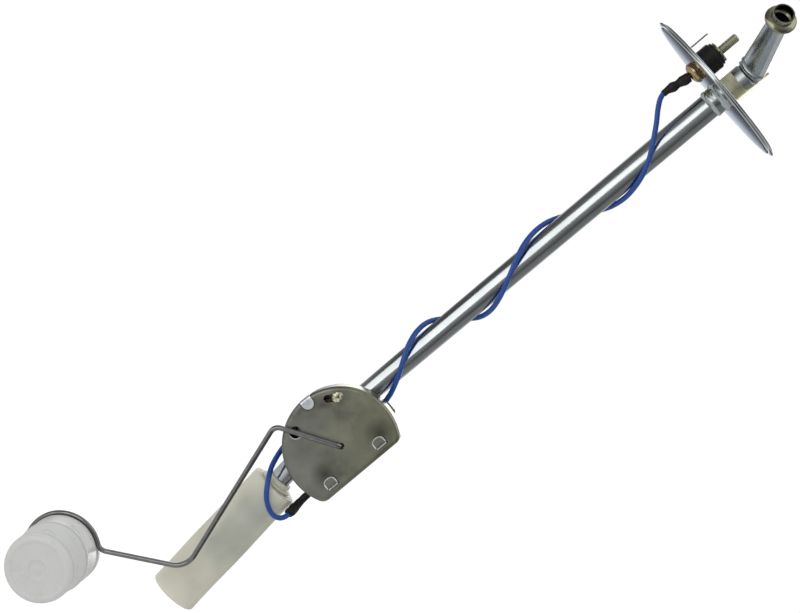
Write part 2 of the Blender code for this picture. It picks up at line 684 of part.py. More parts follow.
def build_lead(mats):
    """Build the insulated lead and the sleeves over its two joints."""
    lug_tip = Vector((PIVOT_X + RIVET_X, -(LUG_BACK + LUG_FRONT) / 2, PIVOT_Z + LUG_BOTTOM))
    route = [Vector(point) * MM for point in LEAD_ROUTE_MM]
    route += [lug_tip + Vector(point) * MM for point in LEAD_LOOP_MM]
    points = smooth_route(route, LEAD_SPACING)
    add_object("sender_lead", wire_curve("sender_lead", points, LEAD_RADIUS, 2), mats["blue_pvc"])
    above = Vector((TERMINAL_X, TERMINAL_Y, HEAD_BOTTOM - GAP))
    beyond = Vector((lug_tip.x, lug_tip.y, PIVOT_Z + BOARD_BOTTOM - GAP))
    covered = [above] + points + [beyond]
    total = path_length(covered)
    inner = LEAD_RADIUS + GAP
    for name, start, end in (("upper_sleeve", 0.0, UPPER_SLEEVE_LENGTH),
                             ("lower_sleeve", total - LOWER_SLEEVE_LENGTH, total)):
        part = path_part(covered, start, end, SLEEVE_SPACING)
        radii = []
        for i in range(len(part)):
            swell = SLEEVE_BULGE * math.sin(math.pi * i / (len(part) - 1)) ** 2
            radii.append((inner + SLEEVE_WALL + swell) / inner)
        curve = wire_curve(name, part, inner, 3, caps=False, radii=radii)
        add_solidify(add_object(name, curve, mats["black_sleeve"]), SLEEVE_WALL, offset=-1.0)


def add_tab(plate, housing, name, root_x, reach, corner, level, foot=None, along=0.0, turn=0.0):
    """Join a tab to the base plate: up beside or through the cover, then folded over it."""
    start = PLATE_BACK + PLATE_THICKNESS / 2
    spare = TAB_SHEET / 2
    fold = arc((root_x - TAB_BEND, level - TAB_BEND), TAB_BEND, 0.0, math.pi / 2, 4)
    path = [(root_x, start)] + fold + [(root_x - reach - spare, level)]
    if foot is not None:
        path.insert(0, (foot, start))
    spin = Matrix.Rotation(turn, 4, "Z")
    place = spin @ Vector((0.0, along, 0.0))
    upright = spin @ Matrix.Rotation(math.radians(90), 4, "X")
    strip = add_object(name, sheet_strip_mesh(name, path, TAB_WIDTH + spare), parent=housing, location=place,
                       rotation=upright.to_euler())
    add_solidify(strip, TAB_SHEET)
    half = TAB_WIDTH / 2
    tip = root_x - reach + corner
    far = root_x + 3 * TAB_SHEET
    plan = [(far, -half), (far, half)] + arc((tip, half - corner), corner, math.pi / 2, math.pi, 5)
    plan += arc((tip, corner - half), corner, math.pi, 3 * math.pi / 2, 5)[(1 if corner == half else 0):]
    mesh = plate_mesh(name + "_plan", plan, 0.0, 2 * COVER_FACE)
    cutter = add_object(name + "_plan", mesh, parent=housing, location=place, rotation=(0.0, 0.0, turn))
    add_cut(strip, cutter, "INTERSECT")
    add_cut(plate, strip, "UNION")


def build_base_plate(mats, housing):
    """Build the flat base plate and the three tabs that fold over the cover."""
    outline = housing_outline(HOUSING_RADIUS, HOUSING_FLAT, HOUSING_CORNER)
    plate = add_object("base_plate", plate_mesh("base_plate", outline, PLATE_BACK, PLATE_FRONT),
                       mats["olive_zinc"], parent=housing)
    level = COVER_FACE + GAP + TAB_SHEET / 2
    for name, along in (("upper_tab", TAB_FROM_PIVOT), ("lower_tab", -TAB_FROM_PIVOT)):
        add_tab(plate, housing, name, TAB_ROOT, TAB_REACH, TAB_CORNER, level, along=along)
    add_tab(plate, housing, "side_tab", SIDE_TAB_ROOT, SIDE_TAB_REACH, TAB_WIDTH / 2,
            COVER_FACE - TAB_SHEET / 2 - GAP / 2, foot=HOUSING_RADIUS - 2 * TAB_SHEET, turn=SIDE_TAB_ANGLE)
    hole = plate_mesh("bush_hole", disc_outline((0.0, 0.0), BUSH_RADIUS + GAP, 24), PLATE_BACK - GAP,
                      PLATE_FRONT + GAP)
    add_cut(plate, add_object("bush_hole", hole, parent=housing))
    hole = plate_mesh("rivet_hole", disc_outline((RIVET_X, RIVET_Y), RIVET_RADIUS + 2 * GAP, 20),
                      PLATE_BACK - GAP, PLATE_FRONT + GAP)
    add_cut(plate, add_object("rivet_hole", hole, parent=housing))


def build_cover(mats, housing):
    """Build the pressed D shaped cover: an open cup with its slots and holes."""
    bm = bmesh.new()
    outline = housing_outline(HOUSING_RADIUS, HOUSING_FLAT, HOUSING_CORNER)
    face = bm.faces.new([bm.verts.new((x, y, COVER_RIM)) for x, y in outline])
    extruded = bmesh.ops.extrude_face_region(bm, geom=[face])
    moved = [item for item in extruded["geom"] if isinstance(item, bmesh.types.BMVert)]
    bmesh.ops.translate(bm, verts=moved, vec=(0, 0, COVER_DEPTH))
    bmesh.ops.recalc_face_normals(bm, faces=bm.faces)
    rim = [e for e in bm.edges if min(v.co.z for v in e.verts) > COVER_FACE - GAP]
    bmesh.ops.bevel(bm, geom=rim, offset=COVER_EDGE, segments=3, profile=0.5, affect="EDGES", material=-1)
    back = [f for f in bm.faces if max(v.co.z for v in f.verts) < COVER_RIM + GAP]
    bmesh.ops.delete(bm, geom=back, context="FACES_ONLY")
    mesh = bpy.data.meshes.new("housing_cover")
    bm.to_mesh(mesh)
    bm.free()
    mesh.shade_smooth()
    mesh.set_sharp_from_angle(angle=math.radians(40))
    cover = add_object("housing_cover", mesh, mats["olive_zinc"], parent=housing)
    add_solidify(cover, COVER_SHEET, offset=-1.0)
    low, high = COVER_INSIDE - GAP, COVER_FACE + GAP
    cuts = [("pivot_hole", disc_outline((0.0, 0.0), WIRE_RADIUS + GAP, 20))]
    for name, along in (("upper_slot", TAB_FROM_PIVOT), ("lower_slot", -TAB_FROM_PIVOT)):
        half_x = TAB_SHEET / 2 + GAP
        half_y = TAB_WIDTH / 2 + GAP
        right = TAB_ROOT + half_x
        left = TAB_ROOT - half_x - TAB_BEND
        cuts.append((name, [(left, along - half_y), (right, along - half_y), (right, along + half_y),
                            (left, along + half_y)]))
    slot_centre = (SLOT_FROM_PIVOT * math.cos(SLOT_ANGLE), SLOT_FROM_PIVOT * math.sin(SLOT_ANGLE))
    slot_turn = SLOT_ANGLE - math.pi / 2
    cuts.append(("adjusting_slot", slot_outline(slot_centre, SLOT_LENGTH, SLOT_WIDTH, slot_turn)))
    hole_centre = (ROUND_HOLE_FROM_PIVOT * math.cos(ROUND_HOLE_ANGLE),
                   ROUND_HOLE_FROM_PIVOT * math.sin(ROUND_HOLE_ANGLE))
    cuts.append(("vent_hole", disc_outline(hole_centre, ROUND_HOLE_RADIUS, 24)))
    for name, outline in cuts:
        add_cut(cover, add_object(name, plate_mesh(name, outline, low, high), parent=housing))
    notch_radius = TAB_WIDTH / 2 + GAP
    notch_depth = 2 * TAB_SHEET + GAP
    outer = HOUSING_RADIUS + 2 * notch_radius
    middle = SIDE_TAB_ROOT - SIDE_TAB_REACH + TAB_WIDTH / 2
    ends = arc((middle, 0.0), notch_radius, math.pi / 2, 3 * math.pi / 2, 12)
    notch = [(outer, notch_radius)] + ends + [(outer, -notch_radius)]
    mesh = plate_mesh("tab_notch", notch, COVER_FACE - notch_depth, high)
    add_cut(cover, add_object("tab_notch", mesh, parent=housing, rotation=(0.0, 0.0, SIDE_TAB_ANGLE)))
    wall = HOUSING_RADIUS - 2 * TAB_SHEET
    slit = [(wall, -notch_radius), (outer, -notch_radius), (outer, notch_radius), (wall, notch_radius)]
    mesh = plate_mesh("tab_slit", slit, COVER_RIM - GAP, COVER_FACE - GAP)
    add_cut(cover, add_object("tab_slit", mesh, parent=housing, rotation=(0.0, 0.0, SIDE_TAB_ANGLE)))

    radius = SLOT_WIDTH / 2 - GAP
    half = (SLOT_LENGTH - SLOT_WIDTH) / 2
    place = (slot_centre[0] + half * math.cos(slot_turn), slot_centre[1] + half * math.sin(slot_turn), 0.0)
    rim = COVER_INSIDE + SOLDER_RIM * SOLDER_HEIGHT
    profile = [(radius * math.sin(turn), rim + (1 - SOLDER_RIM) * SOLDER_HEIGHT * math.cos(turn))
               for turn in (math.pi / 2 * i / 6 for i in range(7))]
    profile[0] = (0.0, profile[0][1])
    profile += [(radius, COVER_INSIDE), (0.0, COVER_INSIDE)]
    add_object("solder_joint", turned_mesh("solder_joint", profile, 16), mats["solder"], parent=housing,
               location=place)


def build_straps(mats, housing):
    """Build the two straps that clamp the base plate to the tube."""
    inner = TUBE_RADIUS + GAP
    middle = inner + STRAP_SHEET / 2
    foot_level = PLATE_BACK - GAP - STRAP_SHEET / 2
    bend = STRAP_SHEET
    out = middle + bend
    around = arc((0.0, 0.0), middle, 0.0, -math.pi, 14)
    right = arc((out, foot_level - bend), bend, math.pi, math.pi / 2, 4)
    left = arc((-out, foot_level - bend), bend, math.pi / 2, 0.0, 4)
    path = [(out + STRAP_FOOT, foot_level)] + right[::-1] + around
    path += left[::-1] + [(-out - STRAP_FOOT, foot_level)]
    for name, centre, tilt in (
        ("upper_strap", Vector((TUBE_X, 0.0, UPPER_STRAP_Z)), 0.0),
        ("lower_strap", Vector((TUBE_X, 0.0, TUBE_BEND_Z)) + tail_direction() * LOWER_STRAP_TAIL, -TUBE_TILT),
    ):
        mesh = sheet_strip_mesh(name, path, STRAP_LENGTH)
        turn = Matrix.Rotation(tilt, 4, "Y") @ Matrix.Rotation(math.pi, 4, "X")
        strap = add_object(name, mesh, mats["olive_zinc"], location=centre, rotation=turn.to_euler())
        add_solidify(strap, STRAP_SHEET)


def build_float_arm(mats, pivot):
    """Build the wire arm: shaft, two straight legs and the ring round the float."""
    back = PLATE_BACK - SHAFT_TAIL
    up = (math.sin(RING_TILT), math.cos(RING_TILT))

    def ring_point(angle, slide=0.0):
        across = RING_RADIUS * math.cos(angle) - slide * math.sin(angle)
        along = RING_RADIUS * math.sin(angle) + slide * math.cos(angle)
        return (RING_CENTRE[0] + across, RING_CENTRE[1] + along * up[1], ARM_LEVEL + along * up[0])

    corner = ring_point(RING_START, -RING_LEAD_IN)
    corners = [(0.0, 0.0, back), (0.0, 0.0, ARM_LEVEL), (*ARM_ELBOW, ARM_LEVEL), (*ARM_KNEE, ARM_LEVEL),
               corner, ring_point(RING_START, 0.1 * MM)]
    incoming = (Vector(corners[3]) - Vector(corner)).normalized()
    outgoing = (Vector(corners[5]) - Vector(corner)).normalized()
    ring_bend = (RING_LEAD_IN - 0.2 * MM) * math.tan(incoming.angle(outgoing) / 2)
    path = rounded_path(corners, [ARM_SHAFT_BEND, ARM_ELBOW_BEND, ARM_KNEE_BEND, ring_bend], 6)
    path.pop()
    steps = 32
    for i in range(steps + 1):
        path.append(Vector(ring_point(RING_START + RING_SWEEP * i / steps)))
    add_object("float_arm", wire_curve("float_arm", path, WIRE_RADIUS, 3), mats["dark_steel"], parent=pivot)


def build_float(mats, pivot):
    """Build the moulded float: a drum with a groove for the ring and a rounded front."""
    groove = RING_RADIUS - WIRE_RADIUS - GAP
    half = FLOAT_GROOVE_WIDTH / 2
    edge = 0.6 * MM
    back = -FLOAT_BACK
    front = back + FLOAT_LENGTH
    seam = back + FLOAT_SEAM
    profile = [(0.0, back), (FLOAT_RADIUS - 2 * edge, back), (FLOAT_RADIUS - edge, back + edge / 3),
               (FLOAT_RADIUS, back + edge), (FLOAT_RADIUS, -half), (groove, -half), (groove, half),
               (FLOAT_RADIUS, half)]

    def wall(height):
        share = (height - half) / (front - half)
        return FLOAT_RADIUS + (FLOAT_FRONT_RADIUS - FLOAT_RADIUS) * share

    profile += [(wall(seam), seam - edge), (wall(seam) + FLOAT_SEAM_HEIGHT, seam), (wall(seam), seam + edge)]
    round_centre = (FLOAT_FRONT_RADIUS - FLOAT_ROUND, front - FLOAT_ROUND)
    profile += arc(round_centre, FLOAT_ROUND, 0.0, math.pi / 2, 6)
    profile += [(FLOAT_DIMPLE_RADIUS, front), (FLOAT_DIMPLE_RADIUS * 0.55, front - FLOAT_DIMPLE_DEPTH),
                (0.0, front - FLOAT_DIMPLE_DEPTH)]
    profile.reverse()
    mesh = turned_mesh("float", profile, 36)
    add_object("float", mesh, mats["white_plastic"], parent=pivot, location=(*RING_CENTRE, ARM_LEVEL),
               rotation=(RING_TILT, 0.0, 0.0))


def build_pivot_parts(mats, housing, pivot):
    """Build the bearing bush in the base plate and the retainer on the shaft."""
    bore = WIRE_RADIUS + GAP
    back = PLATE_BACK - GAP
    seat = PLATE_FRONT + GAP
    profile = [(bore, seat + BUSH_FLANGE), (BUSH_FLANGE_RADIUS, seat + BUSH_FLANGE),
               (BUSH_FLANGE_RADIUS, seat), (BUSH_RADIUS, seat), (BUSH_RADIUS, back), (bore, back)]
    mesh = turned_mesh("pivot_bush", profile, 20, closed=True)
    add_object("pivot_bush", mesh, mats["brass"], parent=housing)
    top = back - GAP
    bottom = top - RETAINER_THICKNESS
    cup = RETAINER_THICKNESS
    profile = [(bore, top), (RETAINER_RADIUS, top), (RETAINER_RADIUS, bottom), (bore + 0.8 * cup, bottom),
               (bore + 0.4 * cup, bottom - cup), (bore, bottom - cup)]
    mesh = turned_mesh("shaft_retainer", profile, 18, closed=True)
    add_object("shaft_retainer", mesh, mats["zinc"], parent=pivot)


def ring_sector_mesh(name, section, start, end, steps, ridged=None):
    """Sweep a closed (radius, height) section along an arc, every other step with the ridged one."""
    bm = bmesh.new()
    rings = []
    for i in range(steps + 1):
        angle = start + (end - start) * i / steps
        shape = ridged if ridged and i % 2 else section
        ring = []
        for radius, height in shape:
            ring.append(bm.verts.new((radius * math.cos(angle), radius * math.sin(angle), height)))
        rings.append(ring)
    for ring in (rings[0], rings[-1]):
        bm.faces.new(ring)
    for before, after in zip(rings, rings[1:]):
        for k in range(len(section)):
            nxt = (k + 1) % len(section)
            bm.faces.new((before[k], before[nxt], after[nxt], after[k]))
    return finish_mesh(name, bm)


def build_resistor(mats, housing):
    """Build the curved resistor card, its winding and the wire to the terminal."""
    inner = CARD_RADIUS - CARD_THICKNESS / 2
    outer = CARD_RADIUS + CARD_THICKNESS / 2
    top = CARD_LEVEL + CARD_HEIGHT
    section = [(inner, CARD_LEVEL), (outer, CARD_LEVEL), (outer, top), (inner, top)]
    mesh = ring_sector_mesh("resistor_card", section, CARD_START, CARD_END, 26)
    add_object("resistor_card", mesh, mats["phenolic"], parent=housing)

    wall = WINDING_THICKNESS
    low = WINDING_TOP - WINDING_HEIGHT
    in_gap, out_gap = inner - GAP, outer + GAP
    roof = WINDING_TOP - wall

    def winding_section(ridge):
        left, right = in_gap - wall - ridge, out_gap + wall + ridge
        lid = WINDING_TOP + ridge
        return [(left, low), (in_gap, low), (in_gap, roof), (out_gap, roof), (out_gap, low),
                (right, low), (right, lid), (left, lid)]

    mesh = ring_sector_mesh("resistor_winding", winding_section(0.0), WINDING_START, WINDING_END,
                            2 * WINDING_TURNS, winding_section(WINDING_RIDGE))
    add_object("resistor_winding", mesh, mats["resistance_wire"], parent=housing)

    run_radius = out_gap + wall + GAP + LINK_WIRE_RADIUS + WINDING_RIDGE
    level = CARD_LEVEL + LINK_WIRE_RADIUS
    rivet_angle = math.atan2(RIVET_Y, RIVET_X) + 2 * math.pi
    stop = math.hypot(RIVET_X, RIVET_Y)
    points = []
    steps = 16
    begin = WINDING_END - math.radians(4.0)
    finish = rivet_angle - (RIVET_HEAD_RADIUS + GAP + LINK_WIRE_RADIUS) / stop
    for i in range(steps + 1):
        share = i / steps
        angle = begin + (finish - begin) * share
        radius = run_radius + (stop - run_radius) * max(0.0, share - 0.5) * 2
        points.append(Vector((radius * math.cos(angle), radius * math.sin(angle), level)))
    curve = wire_curve("link_wire", points, LINK_WIRE_RADIUS, 2)
    add_object("link_wire", curve, mats["resistance_wire"], parent=housing)


def build_wiper(mats, pivot):
    """Build the hub, contact blade and wave spring that turn with the arm."""
    bore = WIRE_RADIUS + GAP
    step = WIPER_LEVEL - GAP
    bottom = step - HUB_HEIGHT
    neck_top = WIPER_LEVEL + WIPER_SHEET + GAP + SPRING_WAVE + SPRING_THICKNESS
    profile = [(bore, neck_top), (HUB_NECK_RADIUS, neck_top), (HUB_NECK_RADIUS, step), (HUB_RADIUS, step),
               (HUB_RADIUS, bottom), (bore, bottom)]
    add_object("wiper_hub", turned_mesh("wiper_hub", profile, 20, closed=True), mats["brass"], parent=pivot)

    eye = HUB_NECK_RADIUS + GAP
    eye_outer = eye + 1.7 * MM
    tip = CARD_RADIUS + 0.5 * CARD_THICKNESS
    root_turn = math.asin(WIPER_ROOT_WIDTH / 2 / eye_outer)
    around = arc((0.0, 0.0), eye_outer, root_turn, 2 * math.pi - root_turn, 22)
    nose = arc((tip - WIPER_TIP_WIDTH / 2, 0.0), WIPER_TIP_WIDTH / 2, -math.pi / 2, math.pi / 2, 8)
    mesh = plate_mesh("wiper_blade", around + nose, WIPER_LEVEL, WIPER_LEVEL + WIPER_SHEET)
    blade = add_object("wiper_blade", mesh, mats["bronze"], parent=pivot, rotation=(0.0, 0.0, WIPER_ANGLE))
    hole = plate_mesh("wiper_eye", disc_outline((0.0, 0.0), eye, 24), WIPER_LEVEL - GAP,
                      WIPER_LEVEL + WIPER_SHEET + GAP)
    add_cut(blade, add_object("wiper_eye", hole, parent=pivot, rotation=(0.0, 0.0, WIPER_ANGLE)))

    low = WIPER_LEVEL + WIPER_SHEET + GAP + SPRING_WAVE / 2
    bm = bmesh.new()
    rings = []
    steps = 24
    for i in range(steps):
        angle = 2 * math.pi * i / steps
        level = low + SPRING_WAVE / 2 * math.sin(3 * angle)
        above = level + SPRING_THICKNESS
        ring = []
        for radius, height in ((eye, level), (SPRING_RADIUS, level), (SPRING_RADIUS, above), (eye, above)):
            ring.append(bm.verts.new((radius * math.cos(angle), radius * math.sin(angle), height)))
        rings.append(ring)
    for i in range(steps):
        before, after = rings[i], rings[(i + 1) % steps]
        for k in range(4):
            bm.faces.new((before[k], before[(k + 1) % 4], after[(k + 1) % 4], after[k]))
    add_object("wave_spring", finish_mesh("wave_spring", bm), mats["bronze"], parent=pivot)


def build_housing_terminal(mats, housing):
    """Build the insulating board, rivet and solder lug behind the base plate."""
    outline = [(BOARD_LEFT, BOARD_BOTTOM), (BOARD_RIGHT, BOARD_BOTTOM), (BOARD_RIGHT, BOARD_EAR_BOTTOM),
               (BOARD_EAR_RIGHT, BOARD_TOP), (BOARD_EAR_LEFT, BOARD_TOP),
               (BOARD_EAR_LEFT, BOARD_EAR_BOTTOM), (BOARD_LEFT, BOARD_EAR_BOTTOM)]
    mesh = plate_mesh("terminal_board", outline, BOARD_BACK, BOARD_FRONT)
    board = add_object("terminal_board", mesh, mats["phenolic"], parent=housing)
    hole = plate_mesh("board_hole", disc_outline((RIVET_X, RIVET_Y), RIVET_RADIUS + GAP, 20),
                      BOARD_BACK - GAP, BOARD_FRONT + GAP)
    add_cut(board, add_object("board_hole", hole, parent=housing))

    half, tip = LUG_WIDTH / 2, LUG_TIP_WIDTH / 2
    top = RIVET_Y + half
    head = arc((RIVET_X, top - half), half, 0.0, math.pi, 10)
    outline = head + [(RIVET_X - half, RIVET_Y - half), (RIVET_X - tip, RIVET_Y - 2 * half),
                      (RIVET_X - tip, LUG_BOTTOM), (RIVET_X + tip, LUG_BOTTOM),
                      (RIVET_X + tip, RIVET_Y - 2 * half), (RIVET_X + half, RIVET_Y - half)]
    mesh = plate_mesh("solder_lug", outline, LUG_BACK, LUG_FRONT)
    lug = add_object("solder_lug", mesh, mats["brass"], parent=housing)
    hole = plate_mesh("lug_hole", disc_outline((RIVET_X, RIVET_Y), RIVET_RADIUS + GAP, 20),
                      LUG_BACK - GAP, LUG_FRONT + GAP)
    add_cut(lug, add_object("lug_hole", hole, parent=housing))

    front = PLATE_FRONT + GAP
    back = LUG_BACK - GAP
    profile = [(0.0, front + RIVET_HEAD_HEIGHT), (0.6 * RIVET_HEAD_RADIUS, front + RIVET_HEAD_HEIGHT),
               (RIVET_HEAD_RADIUS, front + 0.4 * RIVET_HEAD_HEIGHT), (RIVET_HEAD_RADIUS, front),
               (RIVET_RADIUS, front), (RIVET_RADIUS, back), (0.85 * RIVET_HEAD_RADIUS, back),
               (0.85 * RIVET_HEAD_RADIUS, back - 0.4 * RIVET_HEAD_HEIGHT),
               (0.5 * RIVET_HEAD_RADIUS, back - 0.8 * RIVET_HEAD_HEIGHT),
               (0.0, back - 0.8 * RIVET_HEAD_HEIGHT)]
    add_object("terminal_rivet", turned_mesh("terminal_rivet", profile, 16), mats["brass"], parent=housing,
               location=(RIVET_X, RIVET_Y, 0.0))


def build_strainer(mats, tail):
    """Build the strainer sock and the collar that holds it on the tube's end."""
    top = -STRAINER_FROM_BEND
    bottom = top - STRAINER_LENGTH
    wall = STRAINER_WALL
    outer = STRAINER_RADIUS
    mouth = TUBE_RADIUS + GAP + COLLAR_WALL + GAP
    corner = STRAINER_ROUND
    outside = [(mouth, top)] + arc((outer - corner, top - corner), corner, math.pi / 2, 0.0, 4)
    outside += arc((outer - corner, bottom + corner), corner, 0.0, -math.pi / 2, 4)[:-1]
    outside += [(0.75 * outer, bottom - 0.5 * STRAINER_DOME), (0.0, bottom - STRAINER_DOME)]
    inside = [(0.0, bottom - STRAINER_DOME + wall), (0.75 * outer, bottom + wall - 0.5 * STRAINER_DOME),
              (outer - wall, bottom + corner + wall), (outer - wall, top - corner - wall),
              (outer - corner - wall, top - wall), (mouth, top - wall)]
    profile = outside + inside + [(mouth, top)]
    mesh = turned_mesh("strainer_sock", profile, 32)
    add_object("strainer_sock", mesh, mats["strainer"], parent=tail)

    bore = TUBE_RADIUS + GAP
    neck = bore + COLLAR_WALL
    flange = neck + COLLAR_FLANGE + GAP
    seat = top + GAP
    step = seat + COLLAR_FLANGE_THICKNESS
    profile = [(bore, top + COLLAR_ABOVE), (neck - COLLAR_EDGE, top + COLLAR_ABOVE),
               (neck, top + COLLAR_ABOVE - COLLAR_EDGE), (neck, step), (flange, step), (flange, seat),
               (neck, seat), (neck, top - COLLAR_BELOW), (bore, top - COLLAR_BELOW)]
    add_object("strainer_collar", turned_mesh("strainer_collar", profile, 24, closed=True), mats["strainer"],
               parent=tail)


def build_materials():
    """Return the materials by their plain names."""
    return {
        "zinc": make_material("zinc_plated_steel", (0.55, 0.57, 0.60), 0.25, 1.0),
        "olive_zinc": make_material("passivated_sheet_steel", (0.42, 0.42, 0.36), 0.42, 1.0),
        "braze": make_material("braze_metal", (0.50, 0.52, 0.52), 0.38, 1.0),
        "brass": make_material("brass", (0.62, 0.42, 0.18), 0.3, 1.0),
        "bronze": make_material("spring_bronze", (0.55, 0.36, 0.20), 0.32, 1.0),
        "dark_steel": make_material("drawn_steel_wire", (0.24, 0.24, 0.24), 0.34, 1.0),
        "solder": make_material("solder", (0.70, 0.70, 0.68), 0.3, 1.0),
        "resistance_wire": make_material("resistance_wire", (0.45, 0.40, 0.34), 0.4, 1.0),
        "black_plastic": make_material("black_moulded_plastic", (0.015, 0.015, 0.016), 0.45, 0.0),
        "black_sleeve": make_material("black_shrink_sleeve", (0.02, 0.018, 0.02), 0.55, 0.0),
        "blue_pvc": make_material("blue_pvc_insulation", (0.02, 0.08, 0.36), 0.38, 0.0),
        "phenolic": make_material("phenolic_sheet", (0.20, 0.09, 0.035), 0.5, 0.0),
        "white_plastic": make_material("translucent_white_plastic", (0.72, 0.73, 0.72), 0.4, 0.0),
        "strainer": make_material("woven_plastic_strainer", (0.62, 0.61, 0.54), 0.5, 0.0),
    }


def main():
    """Build the whole sender."""
    clear_scene()
    mats = build_materials()
    face_front = (math.radians(90), 0.0, 0.0)
    housing = add_frame("housing_frame", (PIVOT_X, 0.0, PIVOT_Z), face_front)
    pivot = add_frame("arm_pivot", (PIVOT_X, 0.0, PIVOT_Z), face_front)
    tail = add_frame("tube_tail", (TUBE_X, 0.0, TUBE_BEND_Z), (0.0, -TUBE_TILT, 0.0))
    build_flange(mats)
    build_pickup_tube(mats)
    build_braze_fillet(mats)
    build_tube_brace(mats)
    build_earth_tab(mats)
    build_terminal(mats)
    build_lead(mats)
    build_base_plate(mats, housing)
    build_cover(mats, housing)
    build_straps(mats, housing)
    build_pivot_parts(mats, housing, pivot)
    build_resistor(mats, housing)
    build_housing_terminal(mats, housing)
    build_float_arm(mats, pivot)
    build_float(mats, pivot)
    build_wiper(mats, pivot)
    build_strainer(mats, tail)


main()
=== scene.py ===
import json
import math

import bmesh
import bpy
from mathutils import Matrix, Vector, noise


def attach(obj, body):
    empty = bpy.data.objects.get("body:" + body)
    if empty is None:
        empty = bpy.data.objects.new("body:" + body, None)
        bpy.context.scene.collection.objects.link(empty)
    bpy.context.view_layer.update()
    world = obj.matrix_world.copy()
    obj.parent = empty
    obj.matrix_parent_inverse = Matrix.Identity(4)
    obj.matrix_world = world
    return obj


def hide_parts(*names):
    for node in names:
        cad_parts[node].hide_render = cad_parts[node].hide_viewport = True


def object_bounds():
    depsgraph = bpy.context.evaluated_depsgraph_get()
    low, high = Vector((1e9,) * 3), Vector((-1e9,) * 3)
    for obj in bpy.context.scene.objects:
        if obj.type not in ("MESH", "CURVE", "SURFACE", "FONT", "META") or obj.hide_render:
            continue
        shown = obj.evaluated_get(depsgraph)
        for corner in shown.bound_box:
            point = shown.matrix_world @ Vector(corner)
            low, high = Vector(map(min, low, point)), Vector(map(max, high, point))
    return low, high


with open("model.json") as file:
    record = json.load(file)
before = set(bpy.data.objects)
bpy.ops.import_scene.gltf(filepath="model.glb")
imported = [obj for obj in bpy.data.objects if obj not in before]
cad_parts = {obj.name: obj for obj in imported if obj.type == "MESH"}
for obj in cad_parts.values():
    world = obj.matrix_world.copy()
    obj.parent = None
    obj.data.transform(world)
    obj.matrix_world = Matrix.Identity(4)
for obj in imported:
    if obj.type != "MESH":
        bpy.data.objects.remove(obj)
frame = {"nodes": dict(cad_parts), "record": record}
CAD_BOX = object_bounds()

bl_info = {
    "name": "Fuel Level Sender",
    "version": (1, 0, 0),
    "blender": (4, 5, 0),
    "location": "3D View > Sidebar > Sender",
    "description": "Dresses the solids of a tank sender with finished pieces and materials",
    "category": "Mesh",
}

MM = 0.001
BODY_OF = {node: body for body, nodes in frame["record"]["behaviour"]["bodies"].items() for node in nodes}

# Places and turns that the solids share, in metres and radians
TUBE_X = 3.6 * MM
TUBE_BEND_Z = -221.0 * MM
TUBE_TILT = math.radians(6.6)
TUBE_TAIL = 50.0 * MM
OUTLET_CORNER_Z = 15.1 * MM
OUTLET_LENGTH = 48.5 * MM
OUTLET_RISE = math.radians(29.3)
OUTLET_SWING = math.radians(14.0)
OUTLET_BEND_RADIUS = 6.5 * MM
TERMINAL = Vector((-11.7, -4.0, 0.0)) * MM
PIVOT = Vector((13.7, 0.0, -225.6)) * MM
HOUSING_FRAME = Matrix.Translation(PIVOT) @ Matrix.Rotation(math.radians(90), 4, "X")
TAIL_FRAME = Matrix.Translation((TUBE_X, 0.0, TUBE_BEND_Z)) @ Matrix.Rotation(-TUBE_TILT, 4, "Y")
GAP = 0.3 * MM
WHITE = (1.0, 1.0, 1.0, 1.0)

# Places on the cover's face, from the arm's pivot
TAB_FROM_PIVOT = 14.0 * MM
ROUND_HOLE_TURN = math.radians(213.5)
ROUND_HOLE = Vector((math.cos(ROUND_HOLE_TURN), math.sin(ROUND_HOLE_TURN))) * 21.0 * MM
RING_CENTRE = Vector((-44.4, -125.8)) * MM

# Levels of the flange and the terminal: the flange's middle stands 1 mm below its rim face
DISH_DEPTH = 1.0 * MM
HEAD_TOP = -2.0 * MM
HEAD_BOTTOM = -5.2 * MM

# Levels in the housing, from the tube's centre plane towards its cover
COVER_RIM = 6.5625 * MM
COVER_FACE = COVER_RIM + 10.5 * MM
ARM_LEVEL = COVER_FACE + 1.8 * MM
FLOAT_BACK = -4.4 * MM
FLOAT_FRAME = (HOUSING_FRAME @ Matrix.Translation((*RING_CENTRE, ARM_LEVEL))
               @ Matrix.Rotation(math.radians(7.2), 4, "X"))

